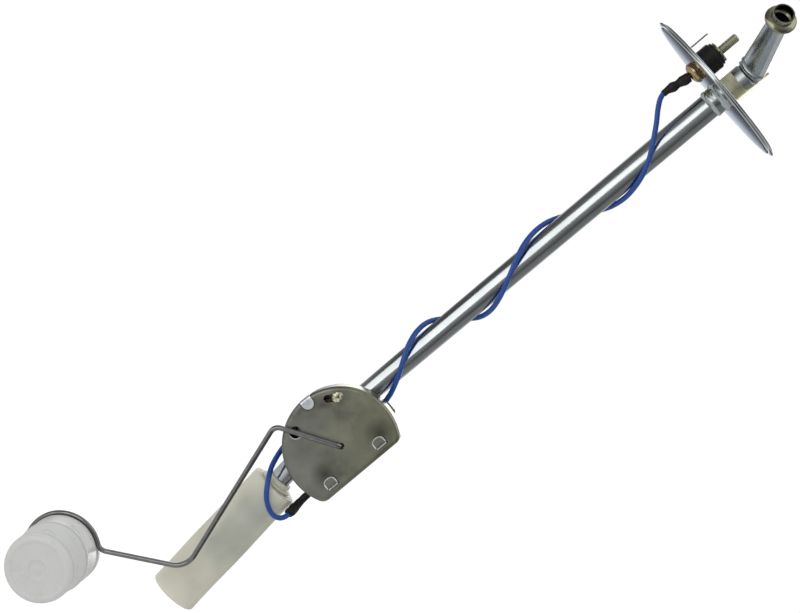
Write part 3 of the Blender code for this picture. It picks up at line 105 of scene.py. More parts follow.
# Route of the lead in millimetres, as the solids have it
LEAD_ROUTE = (
    (-11.9, -4.0, -6.9), (-12.7, -4.0, -12.0), (-13.5, -4.0, -17.3), (-12.6, -4.3, -21.0),
    (-9.6, -5.2, -25.0), (-5.8, -6.4, -29.0), (-1.9, -7.2, -33.6), (1.8, -7.5, -38.2), (5.2, -7.1, -43.0),
    (8.2, -5.3, -49.0), (10.1, -2.4, -55.5), (10.7, 0.8, -61.5), (9.7, 4.0, -68.0), (6.9, 6.4, -74.5),
    (2.8, 7.0, -81.0), (-0.9, 5.4, -87.5), (-3.2, 2.2, -94.5), (-3.4, -1.2, -101.5), (-1.8, -4.6, -108.5),
    (1.4, -6.8, -115.5), (5.2, -7.0, -123.0), (8.7, -5.0, -130.5), (10.6, -1.3, -137.5),
    (9.8, 3.6, -144.0), (5.4, 6.9, -150.5), (0.4, 6.3, -156.5), (-3.1, 2.4, -162.5), (-3.2, -2.0, -169.0),
    (-0.6, -5.7, -176.0), (3.8, -7.1, -183.0), (7.9, -5.6, -190.0), (11.0, -2.0, -197.5),
    (12.0, 2.4, -206.0), (8.8, 7.2, -215.5), (2.6, 8.7, -225.0), (-2.2, 6.6, -235.0), (-2.9, 2.6, -243.4),
    (-1.5, -3.2, -250.6), (1.0, -8.4, -256.6), (4.0, -12.0, -260.4), (7.9, -14.1, -264.6),
    (12.0, -14.0, -267.8), (16.6, -12.6, -269.6), (20.3, -10.6, -269.2), (22.1, -8.6, -266.8),
    (22.0, -6.0, -263.2), (21.4, -3.7, -258.8), (21.1, -2.75, -254.4),
)


def srgb(code):
    """Return the linear red, green and blue of an sRGB hex colour."""
    values = [int(code[i:i + 2], 16) / 255 for i in (0, 2, 4)]
    return tuple(v / 12.92 if v <= 0.04045 else ((v + 0.055) / 1.055) ** 2.4 for v in values)


def colour_property(name, description, code):
    """Return a colour property whose default is an sRGB hex colour."""
    return bpy.props.FloatVectorProperty(name=name, description=description, subtype="COLOR", size=3,
                                         min=0.0, max=1.0, default=srgb(code))


def length_property(name, description, millimetres):
    """Return a length property whose default is given in millimetres."""
    return bpy.props.FloatProperty(name=name, description=description, unit="LENGTH", subtype="DISTANCE",
                                   min=0.0, default=millimetres * MM)


class SenderSizes(bpy.types.PropertyGroup):
    """Sizes that a user may change."""
    flange_radius: length_property("Flange radius", "Half the flange's diameter", 38.2)
    flange_sheet: length_property("Flange sheet", "Thickness of the flange", 1.1)
    tube_radius: length_property("Tube radius", "Half the pickup tube's outside diameter", 4.7625)
    tube_wall: length_property("Tube wall", "Wall of the pickup tube", 0.71)
    bead_radius: length_property("Bead radius", "Half the diameter over the rolled hose bead", 7.0)
    stud_radius: length_property("Stud radius", "Half the terminal stud's diameter", 2.0)
    thread_pitch: length_property("Thread pitch", "Distance between the stud's threads", 0.7)
    lead_radius: length_property("Lead radius", "Half the diameter over the lead's insulation", 1.2)
    housing_radius: length_property("Housing radius", "Radius of the cover's round side", 26.5)
    housing_flat: length_property("Housing flat", "Distance from the pivot to the cover's flat side", 14.7)
    cover_sheet: length_property("Cover sheet", "Thickness of the cover", 0.9)
    wire_radius: length_property("Arm wire radius", "Half the diameter of the float arm's wire", 1.2)
    float_radius: length_property("Float radius", "Half the float's diameter at its back", 16.4)
    float_length: length_property("Float length", "Length of the float", 38.4)
    strainer_radius: length_property("Strainer radius", "Half the strainer's diameter", 11.2)
    strainer_length: length_property("Strainer length", "Length of the strainer", 68.5)
    worn_edge: length_property("Sheet edge", "Radius of the rounded edges of cut sheet", 0.14)


class SenderColours(bpy.types.PropertyGroup):
    """Colours that a user may change."""
    zinc: colour_property("Zinc", "Bright zinc plating", "c6cacb")
    olive_zinc: colour_property("Olive zinc", "Passivated zinc on the pressed sheet", "88887d")
    yellow_zinc: colour_property("Yellow zinc", "Yellowish passivated zinc on small parts", "a8a58c")
    braze: colour_property("Braze", "Plated braze metal", "b8bfbe")
    brass: colour_property("Brass", "Terminal brass", "ad9672")
    steel_wire: colour_property("Steel wire", "Drawn steel of the arm", "858583")
    lead: colour_property("Lead", "Insulation of the lead", "1a4a99")
    black: colour_property("Black", "Moulded insulator and shrink sleeve", "161311")
    phenolic: colour_property("Laminate", "Brown laminated board", "6b5642")
    float_plastic: colour_property("Float", "Milky plastic of the float", "d9d9d5")
    strainer_plastic: colour_property("Strainer", "Milky plastic mesh of the strainer", "d9d5c2")
    floor: colour_property("Floor", "Floor under the sender", "f2f2f2")


# Meshes


def arc(centre, radius, start, end, steps):
    """Return points on an arc between two angles in degrees, both ends included."""
    turns = [math.radians(start + (end - start) * i / steps) for i in range(steps + 1)]
    return [(centre[0] + radius * math.cos(t), centre[1] + radius * math.sin(t)) for t in turns]


def circle(centre, radius, steps):
    """Return evenly spaced points on a circle, none of them twice."""
    return arc(centre, radius, 0.0, 360.0, steps)[:-1]


def rectangle(left, right, bottom, top):
    """Return the corners of a rectangle."""
    return [(left, bottom), (right, bottom), (right, top), (left, top)]


def offsets(x, y, *pairs):
    """Return points whose distances from a place are given in millimetres."""
    return [(x + across * MM, y + along * MM) for across, along in pairs]


def turned(profile, steps, closed=False):
    """Spin a profile of (radius, height) round Z into a bmesh."""
    bm = bmesh.new()
    verts = [bm.verts.new((radius, 0.0, height)) for radius, height in profile]
    edges = [bm.edges.new(pair) for pair in zip(verts, verts[1:])]
    if closed:
        edges.append(bm.edges.new((verts[-1], verts[0])))
    bmesh.ops.spin(bm, geom=verts + edges, cent=(0, 0, 0), axis=(0, 0, 1), angle=2 * math.pi,
                   steps=steps, use_merge=True)
    bmesh.ops.remove_doubles(bm, verts=bm.verts, dist=1e-7)
    bmesh.ops.recalc_face_normals(bm, faces=bm.faces)
    return bm


def slab(outline, bottom, top):
    """Extrude an outline between two heights into a bmesh."""
    bm = bmesh.new()
    face = bm.faces.new([bm.verts.new((x, y, bottom)) for x, y in outline])
    extruded = bmesh.ops.extrude_face_region(bm, geom=[face])
    moved = [item for item in extruded["geom"] if isinstance(item, bmesh.types.BMVert)]
    bmesh.ops.translate(bm, verts=moved, vec=(0, 0, top - bottom))
    bmesh.ops.recalc_face_normals(bm, faces=bm.faces)
    return bm


def taken(mesh):
    """Move a mesh into a bmesh and delete it."""
    bm = bmesh.new()
    bm.from_mesh(mesh)
    bpy.data.meshes.remove(mesh)
    return bm


def swept(points, radius, scale=None, sides=24, caps=True):
    """Sweep a round section along points into a bmesh; scale swells it point by point."""
    curve = bpy.data.curves.new("route", "CURVE")
    curve.dimensions = "3D"
    curve.bevel_depth = radius
    curve.bevel_resolution = (sides - 4) // 2
    curve.use_fill_caps = caps
    spline = curve.splines.new("POLY")
    spline.points.add(len(points) - 1)
    for i, point in enumerate(points):
        spline.points[i].co = (*point, 1.0)
        spline.points[i].radius = scale[i] if scale else 1.0
    holder = bpy.data.objects.new("route", curve)
    bm = taken(bpy.data.meshes.new_from_object(holder))
    bpy.data.objects.remove(holder)
    bpy.data.curves.remove(curve)
    bmesh.ops.remove_doubles(bm, verts=bm.verts, dist=1e-7)
    bmesh.ops.recalc_face_normals(bm, faces=bm.faces)
    return bm


def linked_object(name, bm):
    """Put a bmesh in the scene as an object and free it."""
    mesh = bpy.data.meshes.new(name)
    bm.to_mesh(mesh)
    bm.free()
    obj = bpy.data.objects.new(name, mesh)
    bpy.context.scene.collection.objects.link(obj)
    return obj


def add_wall(obj, thickness, even):
    """Give a sheet its thickness inwards, the same at its folds if it is even."""
    wall = obj.modifiers.new("wall", "SOLIDIFY")
    wall.thickness = thickness
    wall.offset = -1.0
    wall.use_even_offset = even


def cut(bm, *cutters):
    """Cut holes in a bmesh with other bmeshes and return the new bmesh."""
    objects = [linked_object("blank", bm)]
    for cutter in cutters:
        objects.append(linked_object("cutter", cutter))
        hole = objects[0].modifiers.new("hole", "BOOLEAN")
        hole.solver = "EXACT"
        hole.object = objects[-1]
    return shaped(objects)


def shaped(objects):
    """Return the first object's mesh with its modifiers applied, and delete all of them."""
    graph = bpy.context.evaluated_depsgraph_get()
    bm = taken(bpy.data.meshes.new_from_object(objects[0].evaluated_get(graph)))
    for obj in objects:
        old = obj.data
        bpy.data.objects.remove(obj)
        bpy.data.meshes.remove(old)
    return bm


def place(name, bm, material, nodes, frame_matrix=None, smooth=35.0, ride_on=None):
    """Finish a bmesh as a piece that rides on its body and stands for the named solids."""
    if frame_matrix is not None:
        bm.transform(frame_matrix)
    obj = linked_object(name, bm)
    obj.data.shade_smooth()
    obj.data.set_sharp_from_angle(angle=math.radians(smooth))
    obj.data.materials.append(material)
    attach(obj, ride_on or BODY_OF[nodes[0]])
    if nodes:
        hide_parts(*nodes)
    return obj


def round_edges(obj, width, limit=30.0):
    """Round the sharp edges of a piece, with flat faces kept flat."""
    bevel = obj.modifiers.new("rounded_edges", "BEVEL")
    bevel.width = width
    bevel.segments = 2
    bevel.limit_method = "ANGLE"
    bevel.angle_limit = math.radians(limit)
    bevel.harden_normals = True


def refined(node, name, material, edge):
    """Copy a solid's mesh, merge its facets and round its edges."""
    bm = bmesh.new()
    bm.from_mesh(frame["nodes"][node].data)
    bmesh.ops.remove_doubles(bm, verts=bm.verts, dist=1e-6)
    bmesh.ops.dissolve_limit(bm, angle_limit=math.radians(0.5), verts=bm.verts, edges=bm.edges)
    for item in list(bm.faces):
        item.material_index = 0
    round_edges(place(name, bm, material, (node,)), edge)


def rounded_path(corners, radii, steps):
    """Return a path through corner points whose bends are arcs of the given radii."""
    points = [Vector(corners[0])]
    for i in range(1, len(corners) - 1):
        here = Vector(corners[i])
        before = (Vector(corners[i - 1]) - here).normalized()
        after = (Vector(corners[i + 1]) - here).normalized()
        half = before.angle(after) / 2
        reach = radii[i - 1] / math.tan(half)
        centre = here + (before + after).normalized() * (radii[i - 1] / math.sin(half))
        first = here + before * reach - centre
        last = here + after * reach - centre
        axis = first.cross(last)
        turn = first.angle(last)
        for step in range(steps + 1):
            points.append(centre + Matrix.Rotation(turn * step / steps, 3, axis) @ first)
    points.append(Vector(corners[-1]))
    return points


def smooth_route(points, spacing):
    """Return evenly spaced points on one smooth curve through the given points."""
    knots = [Vector(p) for p in points]
    knots = [2 * knots[0] - knots[1]] + knots + [2 * knots[-1] - knots[-2]]
    dense = []
    fine = 24
    for i in range(1, len(knots) - 2):
        p0, p1, p2, p3 = knots[i - 1:i + 3]
        for step in range(fine):
            t = step / fine
            dense.append(0.5 * (2 * p1 + (p2 - p0) * t + (2 * p0 - 5 * p1 + 4 * p2 - p3) * t ** 2
                                + (3 * p1 - p0 - 3 * p2 + p3) * t ** 3))
    dense.append(knots[-2])
    return even_points(dense, spacing)


def even_points(points, spacing):
    """Return points at equal steps along a path, both of its ends kept."""
    runs = [0.0]
    for a, b in zip(points, points[1:]):
        runs.append(runs[-1] + (b - a).length)
    count = max(2, round(runs[-1] / spacing))
    result = []
    here = 0
    for i in range(count + 1):
        goal = runs[-1] * i / count
        while here < len(runs) - 2 and runs[here + 1] < goal:
            here += 1
        share = (goal - runs[here]) / (runs[here + 1] - runs[here])
        result.append(points[here].lerp(points[here + 1], share))
    return result


def between(values, share):
    """Return the value at a share of the way along a row of values."""
    spot = share * (len(values) - 1)
    left = min(int(spot), len(values) - 2)
    return values[left] + (values[left + 1] - values[left]) * (spot - left)


def outlet_direction():
    """Return the direction from the elbow to the hose end."""
    flat = math.cos(OUTLET_RISE)
    return Vector((-flat * math.sin(OUTLET_SWING), -flat * math.cos(OUTLET_SWING), math.sin(OUTLET_RISE)))


def on_cover(across, up):
    """Return the world place of a spot on the cover's face, given from the arm's pivot."""
    return (PIVOT.x + across, -COVER_FACE, PIVOT.z + up)


def housing_outline(radius, flat, corner, arc_steps, corner_steps):
    """Return the cover's D outline: a circle cut by a flat, its corners rounded."""
    centre_x = flat - corner
    centre_y = math.sqrt((radius - corner) ** 2 - centre_x ** 2)
    turn = math.degrees(math.atan2(centre_y, centre_x))
    upper = arc((centre_x, centre_y), corner, 0.0, turn, corner_steps)
    around = arc((0.0, 0.0), radius, turn, 360.0 - turn, arc_steps)
    lower = arc((centre_x, -centre_y), corner, -turn, 0.0, corner_steps)
    return upper + around[1:-1] + lower


def clamped(value):
    """Return a value kept between 0 and 1."""
    return min(1.0, max(0.0, value))


def lumpy(bm, size, depth):
    """Push a mesh's points along their normals by smooth noise."""
    bm.normal_update()
    for vert in bm.verts:
        vert.co += vert.normal * noise.noise(vert.co / size) * depth


# Materials


def add_node(tree, kind, inputs=None, stops=None, **settings):
    """Add one shader node with its settings, its links and values, and a ramp's stops."""
    item = tree.nodes.new("ShaderNode" + kind)
    for key, value in settings.items():
        setattr(item, key, value)
    for key, value in (inputs or {}).items():
        if isinstance(value, bpy.types.NodeSocket):
            tree.links.new(value, item.inputs[key])
        else:
            item.inputs[key].default_value = value
    if stops:
        ramp = item.color_ramp.elements
        ramp[0].position, ramp[0].color = stops[0]
        ramp[1].position, ramp[1].color = stops[-1]
        for position, colour in stops[1:-1]:
            ramp.new(position).color = colour
    return item


def shade(colour, factor):
    """Return a colour made lighter or darker, with its alpha."""
    return (*(min(1.0, channel * factor) for channel in colour), 1.0)


def per(millimetres):
    """Return the noise scale whose features are this many millimetres across."""
    return 1000.0 / millimetres


def start_material(name, values):
    """Return a new material's node tree, its shader and its object coordinates."""
    mat = bpy.data.materials.new(name)
    mat.use_nodes = True
    tree = mat.node_tree
    shader = tree.nodes["Principled BSDF"]
    for socket, value in values.items():
        shader.inputs[socket].default_value = value
    coords = add_node(tree, "TexCoord").outputs["Object"]
    return mat, tree, shader, coords


def stretched(tree, coords, scale, rotation=(0.0, 0.0, 0.0)):
    """Return coordinates that are turned and then stretched along their axes."""
    inputs = {"Vector": coords, "Rotation": rotation, "Scale": scale}
    return add_node(tree, "Mapping", inputs).outputs["Vector"]


def noise_value(tree, coords, millimetres, detail=3.0, roughness=0.5):
    """Return a noise of one feature size."""
    return add_node(tree, "TexNoise", {"Vector": coords, "Scale": per(millimetres), "Detail": detail,
                                       "Roughness": roughness}).outputs["Fac"]


def ramp_colour(tree, value, stops):
    """Return the colour that a ramp gives a value."""
    return add_node(tree, "ValToRGB", {"Fac": value}, stops=stops).outputs["Color"]


def toned(tree, value, colour, *tones):
    """Return shades of one colour, each given as a value and the factor there."""
    return ramp_colour(tree, value, [(at, shade(colour, factor)) for at, factor in tones])


def ranged(tree, value, low, high, to_low=0.0, to_high=1.0):
    """Return a value moved from one range to another and clamped."""
    return add_node(tree, "MapRange", {"Value": value, "From Min": low, "From Max": high, "To Min": to_low,
                                       "To Max": to_high}).outputs["Result"]


def bump(tree, shader, height, millimetres, strength):
    """Raise the surface by a height pattern."""
    normal = add_node(tree, "Bump", {"Height": height, "Distance": millimetres * MM, "Strength": strength})
    tree.links.new(normal.outputs["Normal"], shader.inputs["Normal"])


def maths(tree, operation, *values):
    """Return what a Math node makes of numbers."""
    return add_node(tree, "Math", dict(enumerate(values)), operation=operation).outputs[0]


def vectors(tree, operation, *values):
    """Return the vector that a Vector Math node makes of vectors."""
    return add_node(tree, "VectorMath", dict(enumerate(values)), operation=operation).outputs["Vector"]


def measured(tree, operation, *values):
    """Return the number that a Vector Math node makes of vectors, such as a distance."""
    return add_node(tree, "VectorMath", dict(enumerate(values)), operation=operation).outputs["Value"]


def scaled(tree, vector, factor):
    """Return a vector or a colour times a number."""
    return add_node(tree, "VectorMath", {0: vector, "Scale": factor}, operation="SCALE").outputs["Vector"]


def height_of(tree, coords):
    """Return how high a point of the object lies."""
    return add_node(tree, "SeparateXYZ", {"Vector": coords}).outputs["Z"]


def mixed(tree, factor, first, second):
    """Return a mix of two colours."""
    return add_node(tree, "Mix", {0: factor, 6: first, 7: second}, data_type="RGBA").outputs[2]


def feed(tree, shader, sockets):
    """Link patterns to the shader's own sockets."""
    for name, value in sockets.items():
        tree.links.new(value, shader.inputs[name])


def zinc_on_drawn_tube(colours):
    """Bright zinc on drawn steel tube: mirror-like along its length, with faint die lines."""
    mat, tree, shader, coords = start_material("bright_zinc_on_drawn_tube", {"Metallic": 1.0})
    # Die lines are half a millimetre apart across the tube and many times longer along it
    lines = noise_value(tree, stretched(tree, coords, (1.0, 1.0, 0.02)), 0.5, 4.0)
    straight_top, bend_bottom = 6.0 * MM, 10.0 * MM
    straight = ranged(tree, height_of(tree, coords), straight_top, bend_bottom, 1.0, 0.0)
    lines = maths(tree, "MULTIPLY", lines, straight)
    clouds = noise_value(tree, coords, 9.0, 4.0)
    base = toned(tree, clouds, colours.zinc, (0.30, 0.86), (0.68, 1.0))
    # The hose end keeps the yellowish passivation that the long run has lost
    along = measured(tree, "DOT_PRODUCT", coords, outlet_direction())
    hose_end = (tree, along, 48.0 * MM, 48.6 * MM)
    yellow = ranged(*hose_end)
    base = mixed(tree, yellow, base, shade(colours.yellow_zinc, 0.76))
    # Inside the bore the colour is painted near black: painted shade in the bore, over the brownish tint
    # of its thin plating
    from_corner = vectors(tree, "SUBTRACT", coords, (TUBE_X, 0.0, OUTLET_CORNER_Z))
    beside = vectors(tree, "CROSS_PRODUCT", from_corner, outlet_direction())
    bore = ranged(tree, measured(tree, "LENGTH", beside), 4.45 * MM, 4.55 * MM, 1.0, 0.0)
    base = mixed(tree, maths(tree, "MULTIPLY", bore, yellow), base, (0.06, 0.05, 0.04, 1.0))
    # The hand bent end is duller than the drawn run and than the rolled hose end
    drawn = ranged(tree, lines, 0.3, 0.7, 0.10, 0.20)
    bent = ranged(*hose_end, 0.29, 0.2)
    rough = add_node(tree, "Mix", {0: straight, 2: bent, 3: drawn}, data_type="FLOAT").outputs[0]
    feed(tree, shader, {"Base Color": base, "Roughness": rough})
    bump(tree, shader, lines, 0.02, 0.35)
    return mat


def zinc_on_pressed_sheet(colours):
    """Bright zinc on cold rolled sheet: satin, with long waves of rolling and cloudy plating."""
    mat, tree, shader, coords = start_material("bright_zinc_on_pressed_sheet", {"Metallic": 1.0})
    waves = noise_value(tree, stretched(tree, coords, (0.3, 1.0, 1.0)), 9.0, 1.0)
    clouds = noise_value(tree, coords, 7.0, 2.0)
    base = toned(tree, clouds, colours.zinc, (0.30, 0.90), (0.70, 1.0))
    feed(tree, shader, {"Base Color": base, "Roughness": ranged(tree, clouds, 0.3, 0.7, 0.05, 0.10)})
    bump(tree, shader, waves, 0.02, 0.3)
    return mat


def olive_passivated_sheet(colours):
    """Passivated zinc on pressed sheet: olive grey satin with blotches where it was handled."""
    mat, tree, shader, coords = start_material("olive_passivated_zinc_sheet", {"Metallic": 1.0})
    blotches = noise_value(tree, coords, 14.0, 3.0, 0.55)
    grain = noise_value(tree, stretched(tree, coords, (1.0, 1.0, 0.12)), 0.9, 4.0)
    base = toned(tree, blotches, colours.olive_zinc, (0.28, 0.55), (0.45, 0.9), (0.70, 1.15))
    # The colour is lighter towards the top and the flat side than on the left, a painted light gradient,
    # and yellower there as the film's tint
    light_slant = Vector((0.4, 0.0, 0.6))
    along = measured(tree, "DOT_PRODUCT", coords, light_slant)
    wander = maths(tree, "MULTIPLY_ADD", blotches, 0.012, along)
    grey_ends, yellow_starts = light_slant.dot(PIVOT) - 5.0 * MM, light_slant.dot(PIVOT) + 15.0 * MM
    yellow = ranged(tree, wander, grey_ends, yellow_starts)
    tint = mixed(tree, yellow, (0.95, 0.96, 1.0, 1.0), (1.07, 1.07, 0.93, 1.0))
    base = vectors(tree, "MULTIPLY", base, tint)
    # Beside each tab the colour is painted darker: a painted reflection of the dents that the folding
    # pressed into the cover
    for spot in ((6.5 * MM, 17.0 * MM), (5.1 * MM, -13.6 * MM)):
        away = measured(tree, "DISTANCE", coords, on_cover(*spot))
        base = scaled(tree, base, ranged(tree, away, 0.5 * MM, 7.5 * MM, 0.36, 1.0))
    # A crescent on the round hole's edge, on its lower side towards the flat side, is painted light: a
    # painted highlight where the punched edge catches light
    from_hole = vectors(tree, "SUBTRACT", coords, on_cover(ROUND_HOLE.x, ROUND_HOLE.y))
    rim = ranged(tree, measured(tree, "LENGTH", from_hole), 3.0 * MM, 3.3 * MM, 0.8, 0.0)
    below = measured(tree, "DOT_PRODUCT", from_hole, (0.77, 0.0, -0.64))
    rim = maths(tree, "MULTIPLY", rim, ranged(tree, below, 1.2 * MM, 2.0 * MM))
    base = mixed(tree, rim, base, shade(colours.zinc, 1.2))
    feed(tree, shader, {"Base Color": base, "Roughness": ranged(tree, blotches, 0.3, 0.7, 0.30, 0.42)})
    bump(tree, shader, grain, 0.03, 0.35)
    return mat


def tab_zinc(colours):
    """Zinc of the base plate: olive on the other tabs, and painted bright on the side tab as a painted
    highlight.
    """
    mat, tree, shader, coords = start_material("zinc_of_the_folded_tabs", {
        "Metallic": 1.0, "Roughness": 0.32})
    # The side tab is painted bright zinc, up to one and a half times its colour: a painted highlight where
    # it catches light
    side_tab = on_cover(-24.5 * MM, 0.8 * MM)
    dull = ranged(tree, measured(tree, "DISTANCE", coords, side_tab), 4.5 * MM, 5.5 * MM)
    film = noise_value(tree, coords, 5.0, 3.0)
    bright = toned(tree, film, colours.zinc, (0.30, 1.0), (0.70, 1.5))
    feed(tree, shader, {"Base Color": mixed(tree, dull, bright, shade(colours.olive_zinc, 1.0))})
    return mat


def drawn_steel_wire(colours):
    """Drawn spring steel wire: dark satin with fine lines along it."""
    mat, tree, shader, coords = start_material("drawn_spring_steel_wire", {"Metallic": 1.0})
    film = noise_value(tree, coords, 4.0, 4.0)
    grain = noise_value(tree, coords, 0.35, 3.0)
    base = toned(tree, film, colours.steel_wire, (0.30, 0.8), (0.70, 1.15))
    feed(tree, shader, {"Base Color": base, "Roughness": ranged(tree, grain, 0.3, 0.7, 0.12, 0.19)})
    bump(tree, shader, grain, 0.01, 0.25)
    return mat


def milky_float_plastic(colours):
    """Thin moulded polyethylene: milky, light gets into it and it shines softly."""
    mat, tree, shader, coords = start_material("milky_moulded_float_plastic", {
        "IOR": 1.5, "Subsurface Weight": 0.25, "Subsurface Radius": (0.9, 0.9, 0.8),
        "Subsurface Scale": 0.003})
    clouds = noise_value(tree, coords, 8.0, 3.0)
    base = toned(tree, clouds, colours.float_plastic, (0.30, 0.98), (0.70, 1.02))
    # Painted shade: the colour is darkened in the corner behind the rounded front and beside the weld
    # seam, where shade falls
    axis = FLOAT_FRAME.to_3x3() @ Vector((0.0, 0.0, 1.0))
    start = axis.dot(FLOAT_FRAME.translation)
    along = measured(tree, "DOT_PRODUCT", coords, axis)
    for groove, half_width in ((30.6 * MM, 0.9 * MM), (14.4 * MM, 0.8 * MM), (11.8 * MM, 0.6 * MM)):
        off = maths(tree, "ABSOLUTE", maths(tree, "SUBTRACT", along, start + groove))
        base = scaled(tree, base, ranged(tree, off, 0.0, half_width, 0.72, 1.0))
    feed(tree, shader, {"Base Color": base, "Roughness": ranged(tree, clouds, 0.3, 0.7, 0.24, 0.36)})
    return mat


def woven_strainer_plastic(colours):
    """Woven plastic mesh welded to a sock: milky, dull, with its weave just showing."""
    mat, tree, shader, coords = start_material("woven_plastic_strainer_mesh", {
        "IOR": 1.5, "Roughness": 0.55, "Subsurface Weight": 0.3, "Subsurface Radius": (0.9, 0.85, 0.7),
        "Subsurface Scale": 0.004})
    clouds = noise_value(tree, coords, 16.0, 3.0)
    base = toned(tree, clouds, colours.strainer_plastic, (0.32, 0.84), (0.66, 1.0))
    # Heights between which the paler lower end, the painted shade of the tube and the collar fade in
    paler_low_end, tube_shade_heights = (-322.0 * MM, -300.0 * MM), (-309.0 * MM, -301.0 * MM)
    collar = (-275.0 * MM, -262.0 * MM)
    # The mesh is made paler towards its lower end and darker above
    height = height_of(tree, coords)
    base = scaled(tree, base, ranged(tree, height, *paler_low_end, 1.09, 0.92))
    # Painted light: the mesh is painted lighter on its left, which faces the left softbox, and darker on
    # its right
    across = TAIL_FRAME.to_3x3() @ Vector((1.0, 0.0, 0.0))
    middle = across.dot(TAIL_FRAME.translation)
    side = measured(tree, "DOT_PRODUCT", coords, across)
    reach = bpy.context.scene.sender_sizes.strainer_radius
    base = scaled(tree, base, ranged(tree, side, middle - reach, middle + reach, 1.18, 0.95))
    # A greenish grey shade is painted down the middle of the upper half: painted shade of the tube inside,
    # showing through the mesh
    off = maths(tree, "ABSOLUTE", maths(tree, "SUBTRACT", side, middle + 1.0 * MM))
    behind = ranged(tree, off, 4.5 * MM, 9.5 * MM, 1.0, 0.0)
    behind = maths(tree, "MULTIPLY", behind, ranged(tree, height, *tube_shade_heights))
    tint = mixed(tree, behind, WHITE, (0.83, 0.88, 0.92, 1.0))
    base = vectors(tree, "MULTIPLY", base, tint)
    # The welded collar is the palest
    pale = ranged(tree, height, *collar, 0.0, 0.8)
    feed(tree, shader, {"Base Color": mixed(tree, pale, base, shade(colours.strainer_plastic, 1.25))})
    # The real mesh is finer than 0.3 mm; it is drawn at 0.9 mm so that the render can show it
    level = stretched(tree, coords, (1.0, 1.0, 1.0), (0.0, TUBE_TILT, 0.0))
    threads = add_node(tree, "TexWave", {"Vector": level, "Scale": per(0.9) / 20.0, "Distortion": 0.4},
                       wave_type="BANDS", bands_direction="Z").outputs["Fac"]
    bump(tree, shader, threads, 0.06, 0.35)
    return mat


def plain_finish(colours, name, values, feature, tones, rough=None, relief=None, stretch=(1.0, 1.0, 1.0)):
    """Return a material whose one noise tints it, and may set its roughness and raise it too."""
    mat, tree, shader, coords = start_material(name, values)
    pattern = noise_value(tree, stretched(tree, coords, stretch), *feature)
    stops = [(at, shade(getattr(colours, colour), factor)) for at, colour, factor in tones]
    feed(tree, shader, {"Base Color": ramp_colour(tree, pattern, stops)})
    if rough:
        feed(tree, shader, {"Roughness": ranged(tree, pattern, 0.3, 0.7, *rough)})
    if relief:
        bump(tree, shader, pattern, *relief)
    return mat


# Material, shader values, noise size in millimetres and detail, tones, roughness, then relief in
# millimetres with its strength, and a stretch
PLAIN_FINISHES = {
    # Yellowish passivated zinc on small stamped parts: satin with a faint tarnish
    "yellow": ("yellow_passivated_zinc", {"Metallic": 1.0}, (3.0, 5.0),
               ((0.30, "yellow_zinc", 0.86), (0.70, "yellow_zinc", 1.08)), (0.34, 0.46), (0.02, 0.2)),
    # Passivated zinc on the brace: the yellow zinc painted half again to twice as light, a lit copy that
    # paints the light its front reflects
    "pale": ("pale_passivated_zinc", {"Metallic": 1.0}, (5.0, 2.0),
             ((0.30, "yellow_zinc", 1.5), (0.70, "yellow_zinc", 2.1)), (0.36, 0.48)),
    # Zinc along the tabs' edges, painted up to one and a half times lighter: a painted highlight on the
    # rounded edges
    "coined": ("coined_zinc_edge", {"Metallic": 1.0, "Roughness": 0.3}, (1.5, 2.0),
               ((0.30, "zinc", 1.1), (0.70, "zinc", 1.6))),
    # Braze metal under zinc: a run and set surface, smooth but uneven
    "braze": ("plated_braze_metal", {"Metallic": 1.0, "Roughness": 0.2}, (1.6, 3.0),
              ((0.30, "braze", 0.88), (0.70, "braze", 1.05)), None, (0.06, 0.12)),
    # Brass with a warm tarnish in its hollows
    "brass": ("tarnished_brass", {"Metallic": 1.0}, (2.2, 4.0),
              ((0.32, "brass", 0.7), (0.62, "brass", 1.25)), (0.34, 0.2), (0.02, 0.06)),
    # Soft solder: bright, frozen in a wrinkled bead
    "solder": ("soft_solder", {"Metallic": 1.0, "Roughness": 0.34}, (1.1, 3.0),
               ((0.35, "yellow_zinc", 0.5), (0.6, "yellow_zinc", 2.0)), None, (0.12, 0.5)),
    # Black moulded thermoset: dull, with a fine mineral grain
    "thermoset": ("black_moulded_thermoset", {"IOR": 1.52, "Specular IOR Level": 0.3}, (0.5, 4.0),
                  ((0.35, "black", 0.8), (0.7, "black", 1.5)), (0.42, 0.58), (0.04, 0.5)),
    # Shrunk polymer sleeve: black satin, drawn into shallow wrinkles over the joint
    "sleeve": ("black_shrink_sleeve", {"IOR": 1.48, "Roughness": 0.5, "Specular IOR Level": 0.35},
               (1.4, 2.0), ((0.35, "black", 0.9), (0.7, "black", 1.8)), None, (0.1, 0.5)),
    # Extruded PVC insulation: blue, smooth and slightly glossy, with faint scuffs
    "insulation": ("extruded_pvc_insulation", {"IOR": 1.53}, (2.0, 5.0),
                   ((0.30, "lead", 0.82), (0.72, "lead", 1.12)), (0.30, 0.44), (0.02, 0.3)),
    # Phenolic laminate: brown board whose paper layers show in its cut edges
    "laminate": ("phenolic_laminate", {"IOR": 1.6, "Roughness": 0.45}, (0.8, 3.0),
                 ((0.3, "phenolic", 0.7), (0.7, "phenolic", 1.2)), None, (0.04, 0.4), (0.2, 4.0, 0.2)),
    # Wound resistance wire: dull, dark where the wiper has not polished it
    "resistance": ("wound_resistance_wire", {"Metallic": 1.0, "Roughness": 0.36}, (1.0, 3.0),
                   ((0.3, "steel_wire", 0.7), (0.7, "brass", 0.9))),
}
SPECIAL_FINISHES = {
    "tube": zinc_on_drawn_tube,
    "sheet": zinc_on_pressed_sheet,
    "olive": olive_passivated_sheet,
    "tabs": tab_zinc,
    "wire": drawn_steel_wire,
    "float": milky_float_plastic,
    "strainer": woven_strainer_plastic,
}
MADE = {}


